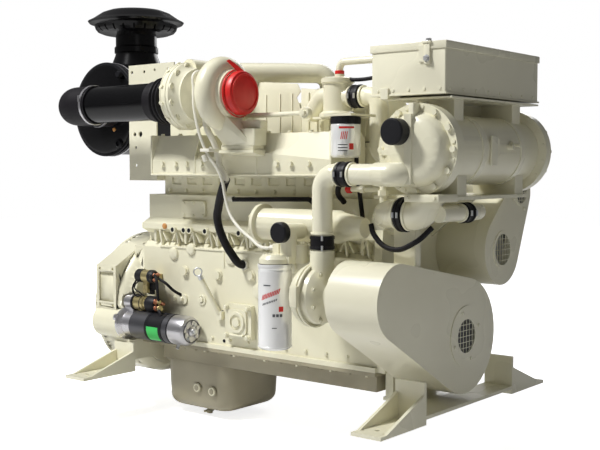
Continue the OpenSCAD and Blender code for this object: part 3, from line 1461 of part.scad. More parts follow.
// Fittings on the block's side: dipstick tube, cover plates, bosses and pads
module block_fittings() {
  u = unit(stick_top - stick_base);
  y = -skirt_half;
  color(cream) {
    difference() {
      union() {
        translate(stick_base) rotate([0, acos(u.z), atan2(u.y, u.x)]) z_rod(9, norm(stick_top - stick_base));
        span([stick_base.x - 16, y - 18, stick_base.z - 22], [stick_base.x + 16, y, stick_base.z + 10]);
      }
      translate(stick_base) rotate([0, acos(u.z), atan2(u.y, u.x)])
        translate([0, 0, stick_in - cut]) z_rod(4, norm(stick_top - stick_base));
    }
    // Raised square cover beside the oil filter
    translate([square_at.x, y - 22, square_at.y]) {
      along_y(22) polygon(round_rect(square_w, square_w, 8));
      translate([0, -8, 0]) along_y(8 + cut) polygon(round_rect(square_w * 0.7, square_w * 0.7, 14));
      for (a = [-1, 1])
        for (b = [-1, 1])
          translate([a * (square_w / 2 - 12), -7, b * (square_w / 2 - 12)]) y_rod(8, 7 + cut);
    }
    // Six-bolt cover plate high on the rear of the block
    translate([plate_at.x, -waist_half - cover_plate.z, plate_at.y + 20])
      along_y(cover_plate.z) polygon(round_rect(cover_plate.x, cover_plate.y, 12));
    for (k = [-1:1])
      for (b = [-1, 1])
        translate([plate_at.x + k * 52, -waist_half - cover_plate.z - 4,
          plate_at.y + 20 + b * 24]) y_rod(6, 4 + cut);
    // Screwed plugs and the two-hole pad on the skirt
    for (p = side_plugs)
      translate([p.x, y - 14, p.y]) y_rod(17, 14);
    translate([side_pad.x, y - 6, side_pad.y]) along_y(6) polygon(round_rect(96, 42, 18));
  }
}
square_at = [756, -8];
square_w = 138;
side_plugs = [[445, 171], [631, 167], [807, 176]];
side_pad = [410, 55];

// One foot: base plate with holes, end plate and two gussets, standing out to -Y
module foot(w, inner, rise, outer) {
  depth = outer - inner;
  difference() {
    span([-w / 2, -outer, 0], [w / 2, -inner, foot_t]);
    translate([0, -feet_y, -cut]) z_rod(foot_hole_r, foot_t + 2 * cut);
    for (s = [-1, 1])
      translate([s * w / 3, -feet_y - 22, -cut]) z_rod(foot_hole_r / 2, foot_t + 2 * cut);
  }
  span([-w / 2, -inner - foot_t, 0], [w / 2, -inner, rise]);
  for (x = [-w / 2, w / 2 - foot_t])
    translate([x, 0, 0]) along_x(foot_t) polygon([[-inner - foot_t / 2, foot_t / 2],
      [-outer + 18, foot_t / 2], [-inner - foot_t / 2, rise * 0.72]]);
}
foot_t = 12;
foot_end = 66;
foot_outer = feet_y + foot_end;

// Four feet and the front support that carries two of them
module engine_feet() {
  front_x = guard_front - 32;
  color(cream) {
    for (s = [0, 1]) {
      mirror([0, s, 0]) {
        translate([rear_foot_x, 0, -feet_depth]) foot(foot_w, foot_face, 118, foot_outer);
        translate([front_x, 0, -feet_depth]) foot(foot_w, support_y, 142, foot_outer);
      }
    }
    // Front support: flat beam under the guard, tied back to the gear case
    span([front_x - foot_w / 2, -support_y, -lip_depth - 12], [front_x + foot_w / 2, support_y, -lip_depth]);
    span([block_front - 10, -support_half, -lip_depth - 12],
      [front_x - foot_w / 2 + cut, support_half, -lip_depth]);
    for (s = [-1, 1])
      translate([gear_face, s * (support_half - 14) - 7, 0]) along_y(14) polygon([[0, -lip_depth - cut],
        [100, -lip_depth - cut], [0, -guard_r - 4]]);
  }
}
support_y = 300;

// The fuel pump on the far side, with its drive flange and shut-off housing
module fuel_pump() {
  y = skirt_half;
  color(cream) difference() {
    union() {
      span([pump2_x, y + rib_t, 60], [pump2_x + 210, y + 130, 200]);
      translate([pump2_x + 210 - cut, y + 78, 130]) x_rod(56, 26 + cut);
      translate([pump2_x + 60, y + 74, 200 - cut]) z_rod(32, 56 + cut);
      translate([pump2_x + 130, y + 60, 200 - cut]) cube([56, 56, 30]);
      translate([pump2_x - 34, y + 70, 150]) x_rod(34, 34 + cut);
      span([pump2_x + 236, y - 2 + rib_t, 84], [block_front, y + 122, 176]);
      translate([lever_at.x, y + 130 - cut, lever_at.y]) y_rod(16, 14 + cut);
    }
    translate([lever_at.x, y + 100, lever_at.y]) y_rod(lever_shaft_r + running, 60);
  }
  color(cream) span([pump2_x + 20, y, 90], [pump2_x + 150, y + rib_t, 170]);
}
pump2_x = 1040;
lever_at = [1120, 150];
lever_shaft_r = 6;

// The throttle lever on its shaft
module throttle_lever() {
  y = skirt_half + 144;
  translate([lever_at.x, 0, lever_at.y]) color(steel) {
    translate([0, y - 40, 0]) y_rod(lever_shaft_r, 52);
    translate([0, y + seat, 0]) y_rod(14, 8);
    translate([0, y + seat, 0]) along_y(8) difference() {
      polygon([[-12, 0], [12, 0], [8, 74], [-8, 74]]);
      translate([0, 64]) circle(r = 4, $fn = 24);
    }
  }
}

cylinder_block();
flywheel_housing();
gear_case();
oil_pan();
bolts_and_plugs();
cylinder_heads();
rocker_housings();
rocker_covers();
exhaust_manifold();
turbine_housing();
bearing_housing();
compressor_housing();
turbo_rotor();
exhaust_cap();
turbo_oil_lines();
charge_air_pipe();
aftercooler();
air_cleaner();
rain_cap();
air_elbow();
intake_pipe();
hump_hose();
cleaner_bracket();
oil_cooler();
filter_head();
oil_filter();
fuel_filter();
thermostat_housing();
coolant_pipes();
coolant_hoses();
water_pump();
pump_impeller();
pump_pulley();
pump_belt_guard();
guard_rings();
crankshaft();
flywheel();
ring_gear();
crank_pulley();
drive_belts();
alternator();
alternator_rotor();
accessory_drive();
alternator_guard();
heat_exchanger();
exchanger_covers();
exchanger_brackets();
expansion_tank();
filler_cap();
exchanger_port_cap();
cooler_port_cap();
starter_motor();
starter_solenoid();
starter_clutch();
starter_pinion();
dipstick();
block_fittings();
engine_feet();
fuel_pump();
throttle_lever();
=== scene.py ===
"""Dresses the marine diesel engine: paint, rubber, steel and small parts that the frame's solids leave out.

Lengths are in millimetres, and each piece is scaled to metres when it is finished. +X points to the belt
end, -Y is the turbocharger's side and +Z is up.
"""

import json
import logging
import math
from dataclasses import dataclass, field
from enum import Enum
from types import TracebackType
from typing import Iterable, Sequence

import bmesh
import bpy
from mathutils import Matrix, Vector

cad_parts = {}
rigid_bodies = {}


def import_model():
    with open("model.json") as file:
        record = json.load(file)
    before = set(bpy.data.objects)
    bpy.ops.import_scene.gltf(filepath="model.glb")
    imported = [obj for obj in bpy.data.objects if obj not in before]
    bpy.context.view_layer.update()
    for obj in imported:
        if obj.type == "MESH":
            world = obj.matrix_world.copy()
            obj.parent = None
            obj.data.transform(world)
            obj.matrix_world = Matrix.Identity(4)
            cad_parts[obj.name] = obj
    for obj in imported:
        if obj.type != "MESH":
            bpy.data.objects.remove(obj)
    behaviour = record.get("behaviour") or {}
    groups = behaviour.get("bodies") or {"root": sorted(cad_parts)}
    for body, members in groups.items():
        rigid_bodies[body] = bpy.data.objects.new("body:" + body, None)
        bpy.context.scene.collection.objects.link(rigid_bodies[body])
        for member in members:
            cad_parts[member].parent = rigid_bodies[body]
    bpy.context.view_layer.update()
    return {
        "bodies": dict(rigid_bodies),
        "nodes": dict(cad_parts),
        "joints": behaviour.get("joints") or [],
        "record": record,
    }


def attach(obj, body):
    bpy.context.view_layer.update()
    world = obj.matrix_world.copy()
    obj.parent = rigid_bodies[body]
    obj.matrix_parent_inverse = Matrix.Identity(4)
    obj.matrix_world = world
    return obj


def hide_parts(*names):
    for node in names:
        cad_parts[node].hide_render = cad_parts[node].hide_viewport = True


LOG = logging.getLogger("marine_engine")
MM = 0.001
NEAR_AXIS = 0.01
Point = tuple[float, float, float]
Pair = tuple[float, float]


class Axis(Enum):
    """The direction in which a turned piece or a bolt points."""

    FRONT = (1.0, 0.0, 0.0)
    REAR = (-1.0, 0.0, 0.0)
    RIGHT = (0.0, 1.0, 0.0)
    LEFT = (0.0, -1.0, 0.0)
    UP = (0.0, 0.0, 1.0)
    DOWN = (0.0, 0.0, -1.0)


class Grain(Enum):
    """How the noise of a finish is stretched along X, Y and Z."""

    EVEN = (1.0, 1.0, 1.0)
    BRUSHED = (0.06, 1.0, 1.0)


@dataclass(frozen=True)
class Finish:
    """A procedural surface: two tones mixed by noise, with its own relief and gloss.

    Attributes:
        name: The material's name.
        slot: The record's material slot.
        light: The tone of clean surface.
        dark: The tone that dust, shade and wear mix in.
        rough: Mean roughness.
        metal: Metallic share.
        coat: Weight of the clear coat.
        grain: The stretch of the relief.
        relief: Depth of the relief in millimetres.
        scale: How many relief cells a metre holds.
        blotch: How strongly the dark tone shows.
    """

    name: str
    slot: str
    light: Point
    dark: Point
    rough: float = 0.35
    metal: float = 0.0
    coat: float = 0.0
    grain: Grain = Grain.EVEN
    relief: float = 0.4
    scale: float = 260.0
    blotch: float = 0.35

    def material(self) -> bpy.types.Material:
        """Makes the material, or gives the one made before.

        Returns:
            The material.
        """
        found = bpy.data.materials.get(self.name)
        if found:
            return found
        made = bpy.data.materials.new(self.name)
        made.use_nodes = True
        nodes, links = made.node_tree.nodes, made.node_tree.links
        shader = nodes["Principled BSDF"]
        is_black = max(self.light) < 0.04
        for socket, value in (
            ("Metallic", self.metal), ("Coat Weight", self.coat), ("Coat Roughness", 0.12),
            ("Specular IOR Level", 0.22 if is_black else 0.5),
        ):
            shader.inputs[socket].default_value = value
        coords = nodes.new("ShaderNodeTexCoord")
        stretch = nodes.new("ShaderNodeMapping")
        stretch.inputs["Scale"].default_value = self.grain.value
        links.new(coords.outputs["Object"], stretch.inputs["Vector"])
        broad = self._noise(made.node_tree, coords.outputs["Object"], scale=4.0, detail=2.0)
        fine = self._noise(made.node_tree, stretch.outputs["Vector"], self.scale, detail=3.0)
        wear = self._range(made.node_tree, broad, {"From Min": 0.3, "From Max": 0.85, "To Max": self.blotch})
        wear.interpolation_type = "SMOOTHSTEP"
        tone = nodes.new("ShaderNodeMix")
        tone.data_type = "RGBA"
        tone.inputs["A"].default_value = (*self.light, 1.0)
        tone.inputs["B"].default_value = (*self.dark, 1.0)
        links.new(wear.outputs["Result"], tone.inputs["Factor"])
        links.new(tone.outputs["Result"], shader.inputs["Base Color"])
        spread = {"To Min": max(0.04, self.rough - 0.1), "To Max": min(1.0, self.rough + 0.14)}
        gloss = self._range(made.node_tree, broad, spread)
        links.new(gloss.outputs["Result"], shader.inputs["Roughness"])
        bump = nodes.new("ShaderNodeBump")
        bump.inputs["Strength"].default_value = 0.35
        bump.inputs["Distance"].default_value = self.relief * MM
        links.new(fine, bump.inputs["Height"])
        links.new(bump.outputs["Normal"], shader.inputs["Normal"])
        return made

    @staticmethod
    def _noise(
        tree: bpy.types.NodeTree, vector: bpy.types.NodeSocket, scale: float, detail: float
    ) -> bpy.types.NodeSocket:
        """Adds one noise texture.

        Args:
            tree: The material's nodes.
            vector: The coordinates that it reads.
            scale: Cells a metre.
            detail: Octaves of detail.

        Returns:
            The noise's value socket.
        """
        noise = tree.nodes.new("ShaderNodeTexNoise")
        noise.inputs["Scale"].default_value = scale
        noise.inputs["Detail"].default_value = detail
        tree.links.new(vector, noise.inputs["Vector"])
        return noise.outputs["Fac"]

    @staticmethod
    def _range(
        tree: bpy.types.NodeTree, value: bpy.types.NodeSocket, limits: dict[str, float]
    ) -> bpy.types.Node:
        """Adds a node that maps a value to a range.

        Args:
            tree: The material's nodes.
            value: The value that it maps.
            limits: The sockets that differ from 0 and 1.

        Returns:
            The node.
        """
        made = tree.nodes.new("ShaderNodeMapRange")
        for socket, limit in limits.items():
            made.inputs[socket].default_value = limit
        tree.links.new(value, made.inputs["Value"])
        return made


CREAM = Finish(
    "cream_paint", "paint", (0.84, 0.81, 0.62), (0.6, 0.55, 0.39), 0.3, coat=0.35, relief=0.5, scale=180
)
SHEET_CREAM = Finish(
    "cream_sheet", "paint", (0.84, 0.81, 0.63), (0.66, 0.61, 0.45), 0.26,
    coat=0.4, relief=0.2, scale=90, blotch=0.2,
)
# Cream darkened to brown-grey as painted shade, for the shade under the block, skirt and starter; its
# blotches vary at random.
SUMP_PAINTED_SHADE = Finish(
    "sump_paint_with_painted_shade", "paint", (0.44, 0.4, 0.28), (0.2, 0.17, 0.1), 0.4,
    coat=0.2, relief=0.8, scale=120, blotch=0.6,
)
BLACK_GLOSS = Finish(
    "black_gloss", "black_paint", (0.003, 0.003, 0.0035), (0.008, 0.007, 0.008), 0.16,
    coat=0.15, relief=0.2, scale=70,
)
BLACK_MATT = Finish("black_rubber", "rubber", (0.007, 0.006, 0.008), (0.02, 0.018, 0.02), 0.5, scale=420)
BARE_STEEL = Finish(
    "bare_steel", "bare_steel", (0.5, 0.5, 0.5), (0.3, 0.29, 0.28), 0.3, metal=1.0,
    grain=Grain.BRUSHED, relief=0.2, scale=500,
)
DARK_STEEL = Finish(
    "dark_steel", "black_paint", (0.12, 0.12, 0.13), (0.05, 0.05, 0.055), metal=0.7, relief=0.3, scale=300
)
SILVER = Finish(
    "silver_end", "bare_steel", (0.62, 0.61, 0.63), (0.4, 0.39, 0.41), 0.28, metal=0.9,
    grain=Grain.BRUSHED, relief=0.2, scale=400,
)
GOLD_ZINC = Finish(
    "yellow_zinc", "bare_steel", (0.55, 0.46, 0.22), (0.32, 0.27, 0.16), 0.3, metal=0.8, relief=0.2, scale=300
)
COPPER = Finish("copper_stud", "bare_steel", (0.6, 0.27, 0.16), (0.35, 0.15, 0.1), metal=0.9, relief=0.2)
GREEN_BAND = Finish("green_band", "paint", (0.05, 0.6, 0.12), (0.04, 0.42, 0.1), 0.4, relief=0.1)
RED_PLASTIC = Finish(
    "red_plastic", "red_cap", (0.66, 0.015, 0.012), (0.42, 0.01, 0.01), 0.38,
    relief=0.3, scale=350, blotch=0.2,
)
BLACK_PLASTIC = Finish(
    "black_plastic", "black_paint", (0.01, 0.01, 0.012), (0.026, 0.026, 0.03), 0.42, relief=0.3, scale=380
)
WHITE_CAN = Finish(
    "white_can", "white_can", (0.86, 0.86, 0.87), (0.7, 0.7, 0.72), 0.25,
    coat=0.3, relief=0.1, scale=60, blotch=0.15,
)
WHITE_LINE = Finish(
    "white_line", "oil_line", (0.8, 0.78, 0.68), (0.55, 0.52, 0.44), 0.4, relief=0.2, scale=500
)
GASKET = Finish("gasket", "rubber", (0.05, 0.045, 0.04), (0.1, 0.09, 0.08), 0.7, relief=0.3)
PRIMER = Finish("primer_spot", "paint", (0.6, 0.28, 0.08), (0.45, 0.2, 0.06), 0.5, relief=0.3)
FLOOR_FINISH = Finish(
    "studio_floor", "paint", (0.82, 0.82, 0.82), (0.8, 0.8, 0.8), 0.9, relief=0.1, blotch=0.1
)


def matrix_to(centre: Sequence[float], axis: Axis | Sequence[float]) -> Matrix:
    """Gives the place of a piece made along +Z.

    Args:
        centre: Where the piece's origin goes.
        axis: Where its +Z points.

    Returns:
        The transform.
    """
    ahead = Vector(axis.value if isinstance(axis, Axis) else axis).normalized()
    turn = Vector(Axis.UP.value).rotation_difference(ahead)
    return Matrix.Translation(Vector(centre)) @ turn.to_matrix().to_4x4()


def circle(centre: Sequence[float], r: float, angles: Iterable[float], about: int) -> list[Vector]:
    """Gives places on a circle.

    Args:
        centre: The circle's middle.
        r: Its radius.
        angles: The places' angles in degrees, from the first of the circle's two coordinates.
        about: 0, 1 or 2, the coordinate that stays the same.

    Returns:
        The places.
    """
    first, second = (n for n in range(3) if n != about)
    places = []
    for angle in angles:
        place = Vector(centre)
        place[first] += r * math.cos(math.radians(angle))
        place[second] += r * math.sin(math.radians(angle))
        places.append(place)
    return places


class Builder:
    """Collects one piece's geometry and makes it a scene object when its with block ends.

    Attributes:
        BOLT_SHARES: Washer, head and dome of a bolt, each with its sides and, as shares of the head's
            radius, its lower radius, upper radius and height.
    """

    BOLT_SHARES = ((16, 1.32, 1.26, 0.22), (6, 1.0, 1.0, 0.7), (12, 0.84, 0.7, 0.14))

    def __init__(
        self, name: str, finish: Finish, body: str = "engine", slot: str = "", replaces: str = "",
        smooth_angle: float = 35.0, unit: float = MM,
    ) -> None:
        """Starts a piece.

        Args:
            name: The piece's name.
            finish: Its surface.
            body: The body it rides on.
            slot: The record's material slot, where it isn't the finish's own; it is stored and not used.
            replaces: The CAD node that the piece stands for, if any.
            smooth_angle: Edges sharper than this, in degrees, stay sharp.
            unit: The length of the geometry's unit in metres.
        """
        self.name, self.finish, self.body = name, finish, body
        self.slot = slot or finish.slot
        self.replaces, self.smooth_angle, self.unit = replaces, smooth_angle, unit
        self.bm = bmesh.new()

    def __enter__(self) -> "Builder":
        """Opens the piece's block."""
        return self

    def __exit__(
        self, kind: type[BaseException] | None, error: BaseException | None, trace: TracebackType | None
    ) -> None:
        """Finishes the piece, unless its block failed."""
        if error is None:
            self.finish_piece()

    def _round_edges(self, verts: Iterable[bmesh.types.BMVert], edge: float) -> None:
        """Rounds the edges of some vertices.

        Args:
            verts: The vertices.
            edge: The radius; zero leaves the edges sharp.
        """
        if edge:
            edges = dict.fromkeys(e for v in verts for e in v.link_edges)
            bmesh.ops.bevel(
                self.bm, geom=list(edges), offset=edge, segments=2, profile=0.5, affect="EDGES", material=-1
            )

    def box(self, low: Sequence[float], high: Sequence[float], edge: float = 0.0) -> None:
        """Adds a box.

        Args:
            low: Its lowest corner.
            high: Its highest corner.
            edge: The radius of its edges.
        """
        size, middle = Vector(high) - Vector(low), (Vector(high) + Vector(low)) / 2
        place = Matrix.Translation(middle) @ Matrix.Diagonal((*size, 1.0))
        self._round_edges(bmesh.ops.create_cube(self.bm, size=1.0, matrix=place)["verts"], edge)

    def rod(
        self, centre: Sequence[float], axis: Axis | Sequence[float], r: float, length: float, steps: int = 32
    ) -> None:
        """Adds a cylinder.

        Args:
            centre: The middle of its first end.
            axis: Where it points.
            r: Its radius.
            length: Its length.
            steps: Its sides.
        """
        place = matrix_to(centre, axis) @ Matrix.Translation((0, 0, length / 2))
        bmesh.ops.create_cone(
            self.bm, cap_ends=True, segments=steps, radius1=r, radius2=r, depth=length, matrix=place
        )

    def turned(
        self, centre: Sequence[float], axis: Axis | Sequence[float], outline: Iterable[Pair], steps: int = 48
    ) -> None:
        """Adds a body turned about an axis.

        Args:
            centre: The outline's origin.
            axis: The axis.
            outline: Corners of the closed outline as (radius, distance along the axis).
            steps: Steps round.
        """
        verts = [self.bm.verts.new((r, 0.0, along)) for r, along in outline]
        edges = [self.bm.edges.new(pair) for pair in zip(verts, verts[1:] + verts[:1])]
        made = bmesh.ops.spin(
            self.bm, geom=verts + edges, cent=(0, 0, 0), axis=Axis.UP.value, angle=math.tau, steps=steps,
            use_merge=True, use_duplicate=False,
        )
        last = [item for item in made["geom_last"] if isinstance(item, bmesh.types.BMVert)]
        grown = self.joined_to(last + verts)
        bmesh.ops.remove_doubles(self.bm, verts=grown, dist=3 * NEAR_AXIS)
        kept = [v for v in grown if v.is_valid]
        bmesh.ops.transform(self.bm, matrix=matrix_to(centre, axis), verts=kept)
        between_poles = dict.fromkeys(e for v in kept for e in v.link_edges if e.is_wire)
        bmesh.ops.delete(self.bm, geom=list(between_poles), context="EDGES")

    @staticmethod
    def joined_to(verts: Sequence[bmesh.types.BMVert]) -> list[bmesh.types.BMVert]:
        """Follows the edges from some vertices.

        Args:
            verts: Where it starts.

        Returns:
            These vertices and all that edges join to them.
        """
        grown = dict.fromkeys(verts)
        front = list(grown)
        while front:
            nearby = dict.fromkeys(e.other_vert(v) for v in front for e in v.link_edges)
            front = [v for v in nearby if v not in grown]
            grown.update(dict.fromkeys(front))
        return list(grown)

    def ring(
        self, centre: Sequence[float], axis: Axis | Sequence[float], inner: float, outer: float, width: float,
        steps: int = 48,
    ) -> None:
        """Adds a ring with softened outer edges.

        Args:
            centre: The middle of its first end.
            axis: Where it points.
            inner: Its inner radius.
            outer: Its outer radius.
            width: Its width along the axis.
            steps: Steps round.
        """
        soft = min(width, outer - inner) * 0.2
        crown = [(outer - soft, 0), (outer, soft), (outer, width - soft), (outer - soft, width)]
        self.turned(centre, axis, [(inner, 0), *crown, (inner, width)], steps)

    def hex_bolt(
        self, seat: Sequence[float], axis: Axis | Sequence[float], r: float, washer: bool = True
    ) -> None:
        """Adds a hexagon bolt head, with its washer and the dome of its end.

        Args:
            seat: The point on the face that it sits on.
            axis: Where the head points.
            r: Half the width across the corners.
            washer: Whether a washer lies under it.
        """
        place = matrix_to(seat, axis)
        low = 0.0
        for sides, wide, narrow, height in self.BOLT_SHARES[0 if washer else 1:]:
            bmesh.ops.create_cone(
                self.bm, cap_ends=True, segments=sides, radius1=wide * r, radius2=narrow * r,
                depth=height * r,
                matrix=place @ Matrix.Translation((0, 0, (low + height / 2) * r)),
            )
            low += height

    def bolts(self, seats: Iterable[Sequence[float]], axis: Axis, r: float) -> None:
        """Adds a bolt head with its washer on every seat."""
        for seat in seats:
            self.hex_bolt(seat, axis, r)

    def plate(self, points: Iterable[Sequence[float]], push: Point, edge: float = 0.0) -> None:
        """Adds a plate: a flat outline pushed through its thickness.

        Args:
            points: The outline's corners in space.
            push: The thickness as a vector.
            edge: The radius of its edges.
        """
        face = self.bm.faces.new([self.bm.verts.new(p) for p in points])
        made = bmesh.ops.extrude_face_region(self.bm, geom=[face])
        top = [item for item in made["geom"] if isinstance(item, bmesh.types.BMVert)]
        bmesh.ops.translate(self.bm, vec=push, verts=top)
        self._round_edges(list(face.verts) + top, edge)

    def hull(self, corners: Iterable[Sequence[float]]) -> None:
        """Adds the convex body that the corners span."""
        bmesh.ops.convex_hull(self.bm, input=[self.bm.verts.new(corner) for corner in corners])

    def finish_piece(self) -> bpy.types.Object:
        """Turns the collected geometry into a scene object.

        Returns:
            The object.
        """
        bmesh.ops.scale(self.bm, vec=(self.unit,) * 3, verts=self.bm.verts)
        bmesh.ops.recalc_face_normals(self.bm, faces=self.bm.faces)
        mesh = bpy.data.meshes.new(self.name)
        self.bm.to_mesh(mesh)
        self.bm.free()
        dressed = dress(self.name, mesh, self.finish, self.body, self.replaces)
        mesh.set_sharp_from_angle(angle=math.radians(self.smooth_angle))
        return dressed


def dress(
    name: str, mesh: bpy.types.Mesh, finish: Finish, body: str, replaces: str
) -> bpy.types.Object:
    """Puts a mesh into the scene with its finish and its place in the frame.

    Args:
        name: The piece's name.
        mesh: Its mesh, in metres.
        finish: Its surface.
        body: The body it rides on.
        replaces: The CAD node that it stands for, if any.

    Returns:
        The object.
    """
    for poly in mesh.polygons:
        poly.use_smooth = True
    mesh.materials.clear()
    mesh.materials.append(finish.material())
    obj = bpy.data.objects.new(name, mesh)
    bpy.context.scene.collection.objects.link(obj)
    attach(obj, body)
    if replaces:
        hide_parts(replaces)
    LOG.info("%s: %d faces on %s", name, len(mesh.polygons), body)
    return obj


def arcs(corners: Sequence[Point], bend: float) -> list[Vector]:
    """Rounds the corners of a pipe's route.

    Args:
        corners: The route's corners.
        bend: The bends' radius.

    Returns:
        The points of the rounded route.
    """
    places = [Vector(corner) for corner in corners]
    route = [places[0]]
    steps = 10
    for before, corner, after in zip(places, places[1:], places[2:]):
        back, ahead = (before - corner).normalized(), (after - corner).normalized()
        half = back.angle(ahead) / 2
        centre = corner + (back + ahead).normalized() * (bend / math.sin(half))
        start, end = (corner + way * (bend / math.tan(half)) - centre for way in (back, ahead))
        route += [centre + start.slerp(end, k / steps).normalized() * bend for k in range(steps + 1)]
    return route + [places[-1]]


def tube(
    name: str, points: Sequence[Point], r: float, finish: Finish, bend: float = 0.0, replaces: str = ""
) -> None:
    """Makes a round pipe or hose along a smooth line.

    Args:
        name: The piece's name.
        points: The points that the middle of the pipe passes.
        r: Its radius.
        finish: Its surface.
        bend: The radius of its bends; zero draws one smooth line through the points.
        replaces: The CAD node that the piece stands for, if any.
    """
    curve = bpy.data.curves.new(name, "CURVE")
    curve.dimensions = "3D"
    curve.bevel_depth = r * MM
    curve.bevel_resolution = 5
    curve.use_fill_caps = True
    curve.resolution_u = 8
    if bend:
        route = arcs(points, bend)
        spline = curve.splines.new("POLY")
        spline.points.add(len(route) - 1)
        for knot, place in zip(spline.points, route):
            knot.co = (*(place * MM), 1.0)
    else:
        spline = curve.splines.new("BEZIER")
        spline.bezier_points.add(len(points) - 1)
        for knot, place in zip(spline.bezier_points, points):
            knot.co = Vector(place) * MM
            knot.handle_left_type = knot.handle_right_type = "AUTO"
    drawn = bpy.data.objects.new(name + "_line", curve)
    bpy.context.scene.collection.objects.link(drawn)
    mesh = bpy.data.meshes.new_from_object(drawn.evaluated_get(bpy.context.evaluated_depsgraph_get()))
    bpy.data.objects.remove(drawn)
    mesh.name = name
    dress(name, mesh, finish, "engine", replaces)


@dataclass(frozen=True)
class Move:
    """Moves the part of a copied solid that the photograph shows elsewhere.

    Attributes:
        axis: 0, 1 or 2, the coordinate that changes.
        table: Pairs of old and new places; between them the change runs evenly.
        low: The region's lowest corner.
        high: The region's highest corner.
    """

    axis: int
    table: tuple[Pair, ...]
    low: Point = (-9999, -9999, -9999)
    high: Point = (9999, 9999, 9999)

    def apply(self, verts: Iterable[bmesh.types.BMVert]) -> None:
        """Moves the vertices inside the region.

        Args:
            verts: The copy's vertices, in metres.
        """
        for vert in verts:
            if all(lo <= c / MM <= hi for lo, c, hi in zip(self.low, vert.co, self.high)):
                vert.co[self.axis] = self.place(vert.co[self.axis] / MM) * MM

    def place(self, value: float) -> float:
        """Gives a coordinate's new place.

        Args:
            value: The old place.

        Returns:
            The new one.
        """
        if value <= self.table[0][0]:
            return value + self.table[0][1] - self.table[0][0]
        for (a, new_a), (b, new_b) in zip(self.table, self.table[1:]):
            if value <= b:
                return new_a + (value - a) * (new_b - new_a) / (b - a)
        return value + self.table[-1][1] - self.table[-1][0]


PUMP_TOP = ((1270, -480, 270), (1380, -370, 380))
HEAD_OUTLET = ((1398, -480, 500), (1470, -370, 640))
VENT_NECK = ((1284, -250, 780), (1360, -140, 900))
EXCHANGER_NECK = ((1560, -400, 370), (1630, -260, 500))
MOVES: dict[str, tuple[Move, ...]] = {
    "air_elbow": (Move(0, ((-200, -158), (0, 42), (62, 140))),),
    "intake_pipe": (Move(0, ((32, 110), (432, 520))),),
    "hump_hose": (Move(0, ((402, 490), (544, 626))),),
    "turbo_rotor": (Move(0, ((560, 650), (630, 720), (760, 810), (840, 890))),),
    "fuel_filter": (Move(0, ((1368, 1362),)), Move(1, ((-300, -342),))),
    "exhaust_manifold": (
        Move(2, ((582, 636), (628, 648), (668, 658)), (820, -999, 570), (1012, -344.5, 700)),
        Move(2, ((668, 658),), (820, -344.4, 655), (1012, 999, 700)),
        Move(1, ((-460, -408),), (820, -999, 500), (1012, -396, 700)),
    ),
    "thermostat_housing": (Move(1, ((-352, -394),), (1200, -999, 700), (1500, -300, 800)),),
    "water_pump": (Move(2, ((288, 314), (320, 332)), (1270, -480, 284), (1380, -370, 380)),),
    "coolant_hoses": (
        Move(2, ((290, 318), (374, 364)), *PUMP_TOP),
        Move(0, ((1402, 1402), (1458, 1444)), *HEAD_OUTLET),
        Move(0, ((1288, 1290), (1354, 1328)), *VENT_NECK),
        Move(0, ((1567, 1581), (1627, 1609)), *EXCHANGER_NECK),
        Move(1, ((-224, -188), (-156, -142)), (1690, -230, 400), (1760, -150, 490)),
    ),
    "coolant_pipes": (
        Move(2, ((358, 348),), (1270, -480, 340), (1380, -370, 366)),
        Move(0, ((1444, 1430),), (1436, -480, 500), (1450, -370, 640)),
        Move(0, ((1334, 1318),), (1325, -250, 780), (1340, -140, 900)),
        Move(0, ((1619, 1601),), (1612, -400, 370), (1622, -260, 500)),
        Move(0, ((1581, 1591),), (1578, -400, 370), (1584, -260, 500)),
        Move(1, ((-210, -172),), (1690, -214, 400), (1760, -206, 490)),
    ),
}


